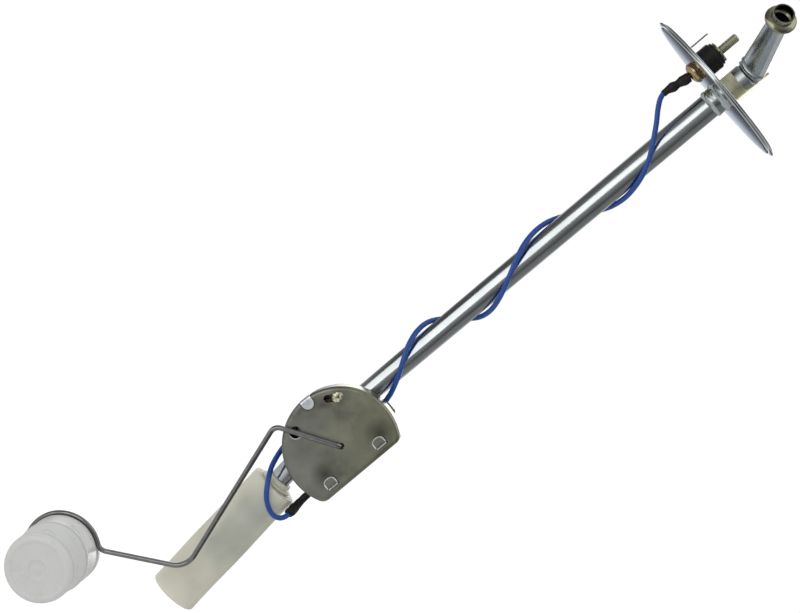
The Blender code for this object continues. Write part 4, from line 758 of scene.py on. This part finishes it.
def finish_of(name):
    """Return a finish, made once."""
    colours = bpy.context.scene.sender_colours
    if name not in MADE:
        MADE[name] = (plain_finish(colours, *PLAIN_FINISHES[name]) if name in PLAIN_FINISHES
                      else SPECIAL_FINISHES[name](colours))
    return MADE[name]


# Operators


class SENDER_OT_stage(bpy.types.Operator):
    """Set up the camera, the lights, the white surround and the floor"""
    bl_idname = "sender.stage"
    bl_label = "Camera, lights and floor"

    def execute(self, context):
        scene = context.scene
        scene.view_settings.view_transform = "Standard"
        self.add_camera(scene)
        self.add_surround(scene)
        # Soft boxes: place, aim, width, height, strength as seen in a mirror, roll in degrees
        for box in (("left_softbox", (-0.82, -1.00, -0.41), (0.0, 0.0, -0.10), 1.63, 0.81, 1.45, 31.0),
                    ("top_softbox", (0.25, -0.25, 1.10), (0.0, 0.0, -0.15), 1.20, 0.90, 0.75, 0.0)):
            self.add_softbox(scene, *box)
        self.add_floor(context)
        return {"FINISHED"}

    def add_camera(self, scene):
        """Look along the photograph's direction, turned by its roll."""
        place_at, dip, roll = (-0.01653, -0.963, -0.06805), math.radians(5.9), math.radians(49.853)
        across = Vector((1.0, 0.0, 0.0))
        upright = Vector((0.0, math.sin(dip), math.cos(dip)))
        right = across * math.cos(roll) + upright * math.sin(roll)
        up = upright * math.cos(roll) - across * math.sin(roll)
        data = bpy.data.cameras.new("photo_camera")
        data.lens = 97.875
        data.sensor_width = 36.0
        data.clip_start = 0.05
        data.clip_end = 50.0
        camera = bpy.data.objects.new("photo_camera", data)
        turn = Matrix((right, up, right.cross(up))).transposed().to_4x4()
        camera.matrix_world = Matrix.Translation(place_at) @ turn
        scene.collection.objects.link(camera)
        scene.camera = camera

    def add_softbox(self, scene, name, place_at, aim, width, height, strength, roll):
        """Add one soft box, turned about its aim, whose mirror image has the given strength."""
        data = bpy.data.lights.new(name, "AREA")
        data.shape = "RECTANGLE"
        data.size = width
        data.size_y = height
        data.energy = strength * math.pi * width * height
        lamp = bpy.data.objects.new(name, data)
        lamp.location = place_at
        aimed = (Vector(aim) - Vector(place_at)).to_track_quat("-Z", "Y").to_matrix()
        lamp.rotation_euler = (aimed @ Matrix.Rotation(math.radians(roll), 3, "Z")).to_euler()
        lamp.visible_camera = False
        scene.collection.objects.link(lamp)

    def add_surround(self, scene):
        """Light the object evenly; mirrors see a studio, the camera sees white."""
        world = bpy.data.worlds.new("white_surround")
        world.use_nodes = True
        scene.world = world
        tree = world.node_tree
        rays = add_node(tree, "LightPath").outputs
        direction = add_node(tree, "TexCoord").outputs["Generated"]
        axes = add_node(tree, "SeparateXYZ", {"Vector": direction}).outputs
        azimuth = maths(tree, "ARCTAN2", axes["X"], maths(tree, "MULTIPLY", axes["Y"], -1.0))
        share = ranged(tree, azimuth, -math.pi, math.pi)
        # What a mirror sees all round, from behind the object over its left to its right
        room = [(-180, 1.0), (-150, 0.9), (-126, 0.25), (-108, 0.12), (-84, 0.12), (-62, 0.16),
                (-20, 0.36), (0, 0.30), (20, 0.18), (38, 0.08), (58, 0.22), (84, 0.24), (112, 0.27),
                (150, 0.8), (180, 0.9)]
        stops = [((angle + 180) / 360, (level, level * 1.01, level * 1.02, 1.0)) for angle, level in room]
        seen = ramp_colour(tree, share, stops)
        # On the left the room is darker towards the table
        left = ranged(tree, axes["X"], -0.5, -0.1, 1.0, 0.0)
        low = ranged(tree, axes["Z"], -0.13, 0.04, 0.45, 1.5)
        seen = scaled(tree, seen, ranged(tree, left, 0.0, 1.0, 1.0, low))
        # Behind the object the table is dark and the wall above it is very bright
        behind = ranged(tree, axes["Y"], 0.75, 0.92)
        wall = ramp_colour(tree, ranged(tree, axes["Z"], -0.3, 0.3), [
            (0.0, (0.05, 0.05, 0.06, 1.0)), (0.36, (0.07, 0.075, 0.09, 1.0)),
            (0.385, (0.36, 0.4, 0.46, 1.0)), (0.41, (0.62, 0.68, 0.78, 1.0)), (0.52, WHITE), (1.0, WHITE)])
        wall = scaled(tree, wall, ranged(tree, axes["Z"], 0.02, 0.12, 1.0, 3.8))
        seen = mixed(tree, behind, seen, wall)
        high = ranged(tree, axes["Z"], 0.35, 0.75)
        seen = mixed(tree, high, seen, (0.62, 0.66, 0.72, 1.0))
        straight = maths(tree, "MAXIMUM", rays["Is Camera Ray"], rays["Is Transmission Ray"])
        even, mirror, white = (add_node(tree, "Background", {"Color": colour, "Strength": 1.0}).outputs[0]
                               for colour in ((0.62, 0.63, 0.64, 1.0), seen, WHITE))
        lit = add_node(tree, "MixShader", {0: rays["Is Glossy Ray"], 1: even, 2: mirror}).outputs[0]
        out = add_node(tree, "MixShader", {0: straight, 1: lit, 2: white}).outputs[0]
        tree.links.new(out, tree.nodes["World Output"].inputs["Surface"])

    def add_floor(self, context):
        """Lay a pale floor below the object, white to the camera but for its shadow."""
        below = 0.09
        bm = bmesh.new()
        bmesh.ops.create_circle(bm, cap_ends=True, segments=96, radius=1.6)
        bmesh.ops.translate(bm, verts=bm.verts, vec=(0.0, 0.35, CAD_BOX[0].z - below))
        bmesh.ops.recalc_face_normals(bm, faces=bm.faces)
        floor = linked_object("floor", bm)
        mat = bpy.data.materials.new("pale_floor")
        mat.use_nodes = True
        tree = mat.node_tree
        shader = tree.nodes["Principled BSDF"]
        shader.inputs["Base Color"].default_value = (*context.scene.sender_colours.floor, 1.0)
        shader.inputs["Roughness"].default_value = 0.9
        shader.inputs["Specular IOR Level"].default_value = 0.0
        rays = add_node(tree, "LightPath").outputs
        lift = add_node(tree, "Emission", {"Color": WHITE, "Strength": 0.45}).outputs[0]
        dark = add_node(tree, "Emission", {"Strength": 0.0}).outputs[0]
        glow = add_node(tree, "MixShader", {0: rays["Is Camera Ray"], 1: dark, 2: lift}).outputs[0]
        both = add_node(tree, "AddShader", {0: shader.outputs[0], 1: glow}).outputs[0]
        tree.links.new(both, tree.nodes["Material Output"].inputs["Surface"])
        floor.data.materials.append(mat)


class SENDER_OT_flange(bpy.types.Operator):
    """Press the mounting flange with its shallow dish and pierce it for tube and terminal"""
    bl_idname = "sender.flange"
    bl_label = "Mounting flange"

    def execute(self, context):
        sizes = context.scene.sender_sizes
        sheet, radius = sizes.flange_sheet, sizes.flange_radius
        dish, bend, edge, crown = 36.2 * MM, 0.55 * MM, 0.32 * MM, 0.3 * MM
        recess = dish - sheet
        top, under = sheet - DISH_DEPTH, -DISH_DEPTH
        # The dish bulges down by a third of a millimetre, as a pressed disc does
        floor = [(recess * i / 12, crown * (1 - (i / 12) ** 2)) for i in range(13)]
        profile = [(r, top - z) for r, z in floor]
        profile += arc((recess + bend, sheet - bend), bend, 180, 90, 6)
        profile += arc((radius - edge, sheet - edge), edge, 90, 0, 4)
        profile += arc((radius - edge, edge), edge, 0, -90, 4) + [(dish, 0.0)]
        profile += arc((dish - bend, under + bend), bend, 0, -90, 6)
        profile += [(r * (dish - bend) / recess, under - z) for r, z in reversed(floor[:-1])]
        terminal_hole = 4.0 * MM
        holes = [slab(circle(middle, size, 48), under - sheet, 2 * sheet) for middle, size in (
            ((TUBE_X, 0.0), sizes.tube_radius + GAP), (TERMINAL.xy, terminal_hole))]
        place("flange_disc", cut(turned(profile, 180), *holes), finish_of("sheet"),
              ("mounting_flange",))
        return {"FINISHED"}


class SENDER_OT_pickup_tube(bpy.types.Operator):
    """Bend the pickup tube, roll its hose bead and run the braze round it"""
    bl_idname = "sender.pickup_tube"
    bl_label = "Pickup tube and braze"

    def execute(self, context):
        sizes = context.scene.sender_sizes
        mouth = Vector((TUBE_X, 0.0, OUTLET_CORNER_Z)) + outlet_direction() * OUTLET_LENGTH
        # The squashed elbow stands a little higher than the plain bend of the solid
        corner = Vector((TUBE_X, 0.0, OUTLET_CORNER_Z + 1.9 * MM))
        outlet = (mouth - corner).normalized()
        tail = Vector((math.sin(TUBE_TILT), 0.0, -math.cos(TUBE_TILT)))
        lower = Vector((TUBE_X, 0.0, TUBE_BEND_Z))
        elbow_steps, bead_steps = 36, 16
        elbow = rounded_path([mouth, corner, lower], [OUTLET_BEND_RADIUS], elbow_steps)[1:-1]
        tail_bend_radius = 60.0 * MM
        run = rounded_path([corner, lower, lower + tail * TUBE_TAIL], [tail_bend_radius], 18)[1:]
        bead_middle, bead_length = 4.8 * MM, 3.6 * MM
        points, scale = [mouth], [1.0]
        for i in range(bead_steps + 1):
            share = i / bead_steps
            points.append(mouth - outlet * (bead_middle + bead_length * (share - 0.5)))
            swell = sizes.bead_radius / sizes.tube_radius - 1.0
            scale.append(1.0 + swell * math.sin(math.pi * share) ** 0.8)
        # The nipple was swelled before the tight bend was made
        points += elbow + run
        nipple_swell = 0.09
        scale += [1.0 + nipple_swell * (1.0 - i / elbow_steps) for i in range(elbow_steps + 1)]
        scale += [1.0] * len(run)
        body = swept(points, sizes.tube_radius, scale, 48, caps=False)
        bend = self.elbow_frame(corner, outlet)
        self.flatten_elbow(body, corner, *bend)
        self.crease_elbow(body, sizes.tube_radius, *bend)
        tube = place("fuel_tube", body, finish_of("tube"), ("pickup_tube",))
        add_wall(tube, sizes.tube_wall, even=False)
        round_edges(tube, 0.18 * MM, 60.0)

        # The braze flares under the flange, then bulges and ends bluntly on the tube
        inner, top = sizes.tube_radius + GAP * 0.2, GAP * 0.3 - DISH_DEPTH
        face = offsets(0.0, top, (8.2, 0.0), (7.5, -0.35), (6.95, -0.9), (6.65, -1.6), (6.6, -2.4),
                       (6.7, -3.2), (6.75, -3.9), (6.65, -4.6), (6.35, -5.2), (5.9, -5.7), (5.4, -6.05),
                       (5.0, -6.2))
        ring = turned([(inner, top), *face, (inner, face[-1][1])], 64, closed=True)
        lumpy(ring, 4.0 * MM, 0.45 * MM)
        place("braze_ring", ring, finish_of("braze"), ("braze_fillet",),
              Matrix.Translation((TUBE_X, 0.0, 0.0)))
        return {"FINISHED"}

    def elbow_frame(self, corner, outlet):
        """Return the tight bend's centre, its first arm, the arm a quarter turn on and its angle."""
        down = Vector((0.0, 0.0, -1.0))
        half = outlet.angle(down) / 2
        centre = corner + (outlet + down).normalized() * (OUTLET_BEND_RADIUS / math.sin(half))
        first = (corner + outlet * OUTLET_BEND_RADIUS / math.tan(half) - centre).normalized()
        axis = first.cross(corner - centre).normalized()
        return centre, first, axis.cross(first), math.pi - 2 * half

    def flatten_elbow(self, bm, corner, centre, first, side, turn):
        """Squash the tight bend to an oval, wide across it and thin in its plane."""
        across, wider, thinner = first.cross(side), 0.28, 0.16
        # It is flattest this near the corner, and plain again at the two reaches
        core, outlet_reach, tube_reach = 5.0 * MM, 26.0 * MM, 13.5 * MM
        for vert in bm.verts:
            arm = vert.co - centre
            beside = Vector((arm.dot(first), arm.dot(side)))
            angle = math.atan2(beside.y, beside.x)
            reach = outlet_reach if angle < turn / 2 else tube_reach
            near = clamped((reach - (vert.co - corner).length) / (reach - core))
            near = near * near * (3.0 - 2.0 * near)
            # The middle line is a circle round the bend's centre between two straight runs
            if 0.0 < angle < turn:
                out = (first * beside.x + side * beside.y).normalized()
            else:
                out = first if angle <= 0.0 else first * math.cos(turn) + side * math.sin(turn)
            inward = arm.dot(out) - OUTLET_BEND_RADIUS
            vert.co += across * (arm.dot(across) * wider * near) - out * (inward * thinner * near)

    def crease_elbow(self, bm, radius, centre, first, side, turn):
        """Press sharp creases across the inner side of the tight bend."""
        depth, folds = 1.45 * MM, 2.4
        bm.normal_update()
        for vert in bm.verts:
            arm = vert.co - centre
            angle = math.atan2(arm.dot(side), arm.dot(first)) / turn
            if -0.12 < angle < 1.0 and arm.length < 3 * OUTLET_BEND_RADIUS:
                flat = math.hypot(arm.dot(side), arm.dot(first))
                inside = clamped(0.62 + 0.75 * (OUTLET_BEND_RADIUS - flat) / radius)
                fold = 1.0 - abs(math.sin(math.pi * folds * (angle + 0.06))) ** 0.8
                vert.co -= vert.normal * fold * inside * depth


class SENDER_OT_terminal(bpy.types.Operator):
    """Mould the terminal's insulator, cut the stud's thread and dome its brass head"""
    bl_idname = "sender.terminal"
    bl_label = "Insulated terminal"

    def execute(self, context):
        sizes = context.scene.sender_sizes
        here = Matrix.Translation(TERMINAL)
        seat, top, lip, neck = 0.4 * MM, 9.2 * MM, 10.5 * MM, -DISH_DEPTH - GAP / 2
        bore, spigot, collar, radius = sizes.stud_radius + GAP, 3.7 * MM, 5.5 * MM, 6.2 * MM
        fine, edge = 0.3 * MM, 0.6 * MM
        profile = [(bore, lip)] + arc((collar - fine, lip - fine), fine, 90, 0, 4)
        profile += [(collar, top)] + arc((radius - edge, top - edge), edge, 90, 0, 6)
        profile += [(radius, seat), (spigot, seat), (spigot, neck), (bore, neck)]
        place("insulator_body", turned(profile, 72, closed=True), finish_of("thermoset"),
              ("terminal_insulator",), here)
        self.add_stud(sizes, here)
        refined("lock_washer", "toothed_washer", finish_of("yellow"), 0.15 * MM)
        refined("fibre_washer", "sealing_washer", finish_of("laminate"), 0.12 * MM)
        return {"FINISHED"}

    def add_stud(self, sizes, here):
        """Thread the stud by a screw spin, and turn its head and stem."""
        pitch, radius, tip = sizes.thread_pitch, sizes.stud_radius, 21.4 * MM
        root, start, chamfer = radius - 0.1 * MM, 11.0 * MM, 0.55 * MM
        flank = root + 0.05 * MM
        bm = bmesh.new()
        rows = [(r, start + pitch * (turn - 1 + share)) for turn in range(int((tip - start) / pitch) + 3)
                for r, share in ((root, 0.0), (flank, 0.15), (radius, 0.45), (radius, 0.6), (flank, 0.9))]
        verts = [bm.verts.new((r, 0.0, z)) for r, z in rows]
        edges = [bm.edges.new(pair) for pair in zip(verts, verts[1:])]
        steps = 40
        bmesh.ops.spin(bm, geom=verts + edges, cent=(0, 0, 0), axis=(0, 0, 1), dvec=(0, 0, pitch / steps),
                       angle=2 * math.pi, steps=steps, use_merge=False)
        bmesh.ops.remove_doubles(bm, verts=bm.verts, dist=1e-6)
        for height, side in ((start, -1), (tip, 1)):
            bmesh.ops.bisect_plane(bm, geom=[*bm.verts, *bm.edges, *bm.faces], plane_co=(0, 0, height),
                                   plane_no=(0, 0, side), clear_outer=True)
        bmesh.ops.holes_fill(bm, edges=[e for e in bm.edges if e.is_boundary], sides=0)
        for vert in bm.verts:
            if vert.co.z > tip - chamfer:
                vert.co.xy *= 1.0 - 0.28 * (vert.co.z - tip + chamfer) / chamfer
        bmesh.ops.recalc_face_normals(bm, faces=bm.faces)
        place("stud_thread", bm, finish_of("yellow"), (), here,
              ride_on=BODY_OF["terminal_stud"])

        head, stem, shank, edge = 5.0 * MM, 0.9 * MM, radius - 0.2 * MM, 0.2 * MM
        dome, end = HEAD_TOP - 0.5 * MM, HEAD_BOTTOM - 1.4 * MM
        profile = [(0.0, start), (shank, start), (shank, HEAD_TOP), (head - edge, HEAD_TOP),
                   (head, HEAD_TOP - edge)]
        profile += [(stem + (head - stem) * x, dome + (HEAD_BOTTOM - dome) * y)
                    for x, y in arc((0.0, 0.0), 1.0, 0, 90, 16)]
        profile += [(stem, end), (0.0, end)]
        place("terminal_head", turned(profile, 64), finish_of("brass"), ("terminal_stud",),
              here)


class SENDER_OT_sheet_parts(bpy.types.Operator):
    """Finish the cut and folded sheet parts with rounded edges"""
    bl_idname = "sender.sheet_parts"
    bl_label = "Folded sheet parts"

    def execute(self, context):
        worn = context.scene.sender_sizes.worn_edge
        for node, name, finish, slot, edge in (
            ("tube_brace", "folded_brace", "pale", "zinc_steel", worn),
            ("earth_tab", "earth_blade", "sheet", "zinc_steel", worn),
            ("base_plate", "plate_with_tabs", "tabs", "zinc_steel", 2 * worn),
            ("upper_strap", "upper_clamp", "olive", "passivated_sheet", worn),
            ("lower_strap", "lower_clamp", "olive", "passivated_sheet", worn),
            ("terminal_board", "laminate_board", "laminate", "phenolic_board", worn),
            ("solder_lug", "tinned_lug", "brass", "brass_parts", worn),
            ("terminal_rivet", "board_rivet", "brass", "brass_parts", worn),
            ("shaft_retainer", "push_on_retainer", "sheet", "zinc_steel", worn),
            ("pivot_bush", "turned_bush", "brass", "brass_parts", worn),
        ):
            refined(node, name, finish_of(finish), edge)
        return {"FINISHED"}


class SENDER_OT_cover(bpy.types.Operator):
    """Press the D shaped cover, pierce its slots and holes and add the solder joint"""
    bl_idname = "sender.cover"
    bl_label = "Housing cover"

    def execute(self, context):
        sizes = context.scene.sender_sizes
        low, high = COVER_FACE - sizes.cover_sheet - GAP, COVER_FACE + GAP
        corner, fold = 4.5 * MM, 1.7 * MM
        outline = housing_outline(sizes.housing_radius, sizes.housing_flat, corner, 96, 10)
        bm = slab(outline, COVER_RIM, COVER_FACE)
        rim = [e for e in bm.edges if min(v.co.z for v in e.verts) > COVER_FACE - GAP]
        bmesh.ops.bevel(bm, geom=rim, offset=fold, segments=10, profile=0.5, affect="EDGES", material=-1)
        back = [f for f in bm.faces if max(v.co.z for v in f.verts) < COVER_RIM + GAP]
        bmesh.ops.delete(bm, geom=back, context="FACES_ONLY")
        bmesh.ops.recalc_face_normals(bm, faces=bm.faces)
        shell = linked_object("sheet", bm)
        add_wall(shell, sizes.cover_sheet, even=True)

        # Holes for the shaft, for the two tabs, for the solder and a round one
        shaft_hole, round_hole = 1.5 * MM, 2.7 * MM
        slit, slit_left, slit_right = 3.1 * MM, 9.4 * MM, 11.9 * MM
        cutters = [slab(circle((0.0, 0.0), shaft_hole, 36), low, high)]
        for middle in (TAB_FROM_PIVOT, -TAB_FROM_PIVOT):
            cutters.append(slab(rectangle(slit_left, slit_right, middle - slit, middle + slit), low, high))
        slot_turn, slot_out, slot_half, slot_radius = math.radians(149.6), 21.6 * MM, 2.3 * MM, 1.7 * MM
        ends = arc((slot_half, 0.0), slot_radius, -90, 90, 14)
        ends += arc((-slot_half, 0.0), slot_radius, 90, 270, 14)
        slot_frame = (Matrix.Rotation(slot_turn, 4, "Z") @ Matrix.Translation((slot_out, 0.0, 0.0))
                      @ Matrix.Rotation(math.radians(-90.0), 4, "Z"))
        slot = slab(ends, low, high)
        slot.transform(slot_frame)
        cutters += [slot, slab(circle(ROUND_HOLE, round_hole, 48), low, high)]
        # The side tab lies in a pocket of the face and a slit of the wall
        side_tab_turn = math.radians(178.0)
        pocket_depth, inner, outer = 2.3 * MM, sizes.housing_radius - fold, 33.0 * MM
        ends = arc((sizes.housing_radius - 2.7 * MM, 0.0), slit, 90, 270, 20)
        for outline, bottom, top in (
            ([(outer, slit)] + ends + [(outer, -slit)], COVER_FACE - pocket_depth, high),
            (rectangle(inner, outer, -slit, slit), COVER_RIM - GAP, COVER_FACE - GAP),
        ):
            pocket = slab(outline, bottom, top)
            pocket.transform(Matrix.Rotation(side_tab_turn, 4, "Z"))
            cutters.append(pocket)
        cover = place("cover_shell", cut(shaped([shell]), *cutters), finish_of("olive"),
                      ("housing_cover",), HOUSING_FRAME, 30.0)
        round_edges(cover, sizes.worn_edge, 40.0)
        self.coin_tab("upper", TAB_FROM_PIVOT)
        self.coin_tab("lower", -TAB_FROM_PIVOT)

        # The solder stands in the outer end of its slot as a low dome
        base = COVER_FACE - sizes.cover_sheet
        dome = [(2.7 * x, 0.55 + 0.65 * y) for x, y in arc((0.0, 0.0), 1.0, 90, 0, 12)]
        dome[0] = (0.0, dome[0][1])
        blob = turned(offsets(0.0, base, *dome, (2.7, 0.5), (1.3, 0.0), (0.0, 0.0)), 60)
        lumpy(blob, 1.6 * MM, 0.3 * MM)
        place("solder_blob", blob, finish_of("solder"), ("solder_joint",),
              HOUSING_FRAME @ slot_frame @ Matrix.Translation((slot_half, 0.0, 0.0)))
        return {"FINISHED"}

    def coin_tab(self, name, along):
        """Lay beads along a folded tab's edge and fold, painted bright zinc as a painted highlight on its
        rounded edges.
        """
        half, corner, tip, root = 2.7 * MM, 2.0 * MM, 7.2 * MM, 10.9 * MM
        bead = 0.27 * MM
        loop = [(root, -half)] + arc((tip + corner, corner - half), corner, -90, -180, 8)
        loop += arc((tip + corner, half - corner), corner, 180, 90, 8) + [(root, half)]
        fold = [(11.45 * MM, -half), (11.5 * MM, 0.0), (11.45 * MM, half)]
        for part, line, level in (("edge", loop, 1.2 * MM), ("fold", fold, 1.0 * MM)):
            points = [Vector((x, y + along, COVER_FACE + level)) for x, y in line]
            place(f"{name}_tab_{part}", swept(points, bead, None, 10), finish_of("coined"),
                  (), HOUSING_FRAME, ride_on=BODY_OF["housing_cover"])


class SENDER_OT_lead(bpy.types.Operator):
    """Wind the insulated lead round the tube and shrink sleeves over its joints"""
    bl_idname = "sender.lead"
    bl_label = "Lead and sleeves"

    def execute(self, context):
        radius = context.scene.sender_sizes.lead_radius
        points = smooth_route([Vector(point) * MM for point in LEAD_ROUTE], 1.5 * MM)
        place("lead_wire", swept(points, radius, None, 20), finish_of("insulation"),
              ("sender_lead",))
        # Swell of each sleeve along its length, over the soldered joint inside it
        upper = (1.7, 1.8, 1.82, 1.72, 1.5, 1.38, 1.62, 1.72, 1.5, 1.25, 1.12, 1.05)
        lower = (1.5, 1.72, 1.75, 1.66, 1.5, 1.4, 1.3, 1.25, 1.2, 1.2, 1.2, 1.15)
        stem_length = 3.9 * MM
        under_head = [Vector((TERMINAL.x, TERMINAL.y, HEAD_BOTTOM - GAP))]
        over_lug = [points[-1] + Vector((0.0, 0.0, stem_length))]
        for name, node, route, swell in (
            ("terminal_shrink_sleeve", "upper_sleeve", under_head + points[:9], upper),
            ("lug_shrink_sleeve", "lower_sleeve", points[-9:] + over_lug, lower),
        ):
            path = smooth_route(route, 0.4 * MM)
            scale = [between(swell, i / (len(path) - 1)) for i in range(len(path))]
            sleeve = swept(path, radius + GAP * 0.4, scale, 28)
            lumpy(sleeve, 2.4 * MM, 0.3 * MM)
            place(name, sleeve, finish_of("sleeve"), (node,))
        return {"FINISHED"}


class SENDER_OT_float_arm(bpy.types.Operator):
    """Bend the float arm from one wire: shaft, two legs and the ring round the float"""
    bl_idname = "sender.float_arm"
    bl_label = "Float arm"

    def execute(self, context):
        tilt, ring_radius = math.radians(6.2), 16.9 * MM
        start, sweep = math.radians(62.0), math.radians(266.0)

        def ring_point(angle, slide=0.0):
            across = ring_radius * math.cos(angle) - slide * math.sin(angle)
            along = ring_radius * math.sin(angle) + slide * math.cos(angle)
            return Vector((RING_CENTRE.x + across, RING_CENTRE.y + along * math.cos(tilt),
                           ARM_LEVEL + along * math.sin(tilt)))

        lead_in = 3.2 * MM
        corner = ring_point(start, -lead_in)
        corners = [(0.0, 0.0, 1.46 * MM), (0.0, 0.0, ARM_LEVEL), (-25.7 * MM, -16.6 * MM, ARM_LEVEL),
                   Vector((-2.7 * MM, -87.8 * MM, ARM_LEVEL)), corner, ring_point(start, 0.1 * MM)]
        turn = (corners[3] - corner).angle(corners[5] - corner)
        ring_bend = (lead_in - 0.2 * MM) * math.tan(turn / 2)
        # Bends at the shaft, between the two legs, at the long leg's end and into the ring
        path = rounded_path(corners, [2.6 * MM, 4.0 * MM, 9.5 * MM, ring_bend], 14)[:-1]
        path += [ring_point(start + sweep * i / 96) for i in range(97)]
        wire = swept(path, context.scene.sender_sizes.wire_radius, None, 24)
        arm = place("arm_wire", wire, finish_of("wire"), ("float_arm",), HOUSING_FRAME)
        round_edges(arm, 0.2 * MM, 60.0)
        return {"FINISHED"}


class SENDER_OT_float(bpy.types.Operator):
    """Mould the float with its groove, weld seam, rounded front and centring rings"""
    bl_idname = "sender.float"
    bl_label = "Float"

    def execute(self, context):
        sizes = context.scene.sender_sizes
        radius, front_radius = sizes.float_radius, 15.5 * MM
        front = FLOAT_BACK + sizes.float_length
        groove, half, edge = 15.4 * MM, 1.6 * MM, 0.6 * MM
        seam, cap, brow = FLOAT_BACK + 17.5 * MM, front - 3.6 * MM, 2.6 * MM

        def wall(height):
            return radius + (front_radius - radius) * (height - half) / (front - half)

        profile = [(0.0, FLOAT_BACK), (radius - 3 * edge, FLOAT_BACK)]
        profile += arc((radius - edge, FLOAT_BACK + edge), edge, -90, 0, 5)
        profile += [(radius, -half - 0.2 * MM), *offsets(groove, -half, (0.2, 0.0), (0.0, 0.2)),
                    *offsets(groove, half, (0.0, -0.2), (0.2, 0.0)), (radius, half + 0.2 * MM)]
        profile += offsets(wall(seam), seam, (-0.05, -1.1), (0.28, -0.5), (0.35, 0.0), (0.28, 0.5),
                           (-0.05, 1.1))
        profile += offsets(wall(cap), cap, (-0.05, -0.7), (-0.35, -0.25), (-0.35, 0.0), (0.1, 0.3))
        profile += arc((front_radius - brow, front - brow), brow, 4, 90, 12)
        # Centring rings and a small gate mark on the front
        profile += offsets(0.0, front, (12.4, -0.02), (12.0, -0.3), (11.4, -0.3), (9.6, -0.1), (9.0, -0.2),
                           (5.4, -0.26), (5.0, -0.1), (4.3, -0.1), (3.9, -0.5), (2.2, -0.5), (1.7, -0.2),
                           (0.0, -0.15))
        place("float_drum", turned(profile, 96), finish_of("float"), ("float",),
              FLOAT_FRAME, 50.0)
        return {"FINISHED"}


class SENDER_OT_strainer(bpy.types.Operator):
    """Weld the strainer sock and push its collar on the tube's end"""
    bl_idname = "sender.strainer"
    bl_label = "Strainer"

    def execute(self, context):
        sizes = context.scene.sender_sizes
        outer, wall, corner = sizes.strainer_radius, 0.8 * MM, 0.9 * MM
        top = -41.8 * MM
        bottom, centre = top - sizes.strainer_length, 0.75 * outer
        low, end = bottom - 0.4 * MM, bottom - 0.8 * MM
        mouth = 6.4625 * MM
        outside = [(mouth, top)] + arc((outer - corner, top - corner), corner, 90, 0, 6)
        rows = 24
        outside += [(outer, top - corner + (bottom - top + 2 * corner) * i / rows) for i in range(1, rows)]
        outside += arc((outer - corner, bottom + corner), corner, 0, -90, 6) + [(centre, low), (0.0, end)]
        inside = [(0.0, end + wall), (centre, low + wall), (outer - wall, bottom + corner + wall),
                  (outer - wall, top - corner - wall), (outer - corner - wall, top - wall),
                  (mouth, top - wall), (mouth, top)]
        sock = turned(outside + inside, 120)
        # The sheet's overlap is welded in a low rib along the side
        rib_turn, rib_half, rib_height = math.radians(-37.0), math.radians(4.0), 0.3 * MM
        for vert in sock.verts:
            off = abs(math.atan2(vert.co.y, vert.co.x) - rib_turn) / rib_half
            if vert.co.xy.length > outer - 0.5 * wall and off < 1.0:
                vert.co.xy *= 1.0 + rib_height / outer * math.cos(off * math.pi / 2)
        lumpy(sock, 24.0 * MM, 0.25 * MM)
        place("strainer_sock_mesh", sock, finish_of("strainer"), ("strainer_sock",),
              TAIL_FRAME)
        refined("strainer_collar", "strainer_collar_ring", finish_of("strainer"),
                0.15 * MM)
        return {"FINISHED"}


class SENDER_OT_inner_parts(bpy.types.Operator):
    """Give the hidden solids their finishes"""
    bl_idname = "sender.inner_parts"
    bl_label = "Resistor and wiper"

    def execute(self, context):
        for node, finish in (("resistor_card", "laminate"), ("resistor_winding", "resistance"),
                             ("link_wire", "resistance"), ("wiper_hub", "brass"), ("wiper_blade", "brass"),
                             ("wave_spring", "brass")):
            mesh_object = frame["nodes"][node]
            mesh_object.data.materials.clear()
            mesh_object.data.materials.append(finish_of(finish))
        return {"FINISHED"}


OPERATORS = (SENDER_OT_stage, SENDER_OT_flange, SENDER_OT_pickup_tube, SENDER_OT_terminal,
             SENDER_OT_sheet_parts, SENDER_OT_cover, SENDER_OT_lead, SENDER_OT_float_arm,
             SENDER_OT_float, SENDER_OT_strainer, SENDER_OT_inner_parts)


class SENDER_PT_panel(bpy.types.Panel):
    """List the sender's operators and its sizes and colours"""
    bl_idname = "SENDER_PT_panel"
    bl_label = "Fuel Level Sender"
    bl_space_type = "VIEW_3D"
    bl_region_type = "UI"
    bl_category = "Sender"

    def draw(self, context):
        layout = self.layout
        for operator in OPERATORS:
            layout.operator(operator.bl_idname)
        for group in (context.scene.sender_sizes, context.scene.sender_colours):
            column = layout.column()
            for key in group.__annotations__:
                column.prop(group, key)


CLASSES = (SenderSizes, SenderColours, *OPERATORS, SENDER_PT_panel)


def register():
    """Register the classes and hang the sizes and colours on the scene."""
    for item in CLASSES:
        bpy.utils.register_class(item)
    bpy.types.Scene.sender_sizes = bpy.props.PointerProperty(type=SenderSizes)
    bpy.types.Scene.sender_colours = bpy.props.PointerProperty(type=SenderColours)


def unregister():
    """Take back what register made."""
    del bpy.types.Scene.sender_colours
    del bpy.types.Scene.sender_sizes
    for item in reversed(CLASSES):
        bpy.utils.unregister_class(item)


def main():
    """Build every piece in order."""
    register()
    for operator in OPERATORS:
        getattr(bpy.ops.sender, operator.bl_idname.split(".")[1])()
    bpy.context.view_layer.update()


if __name__ == "__main__":
    main()
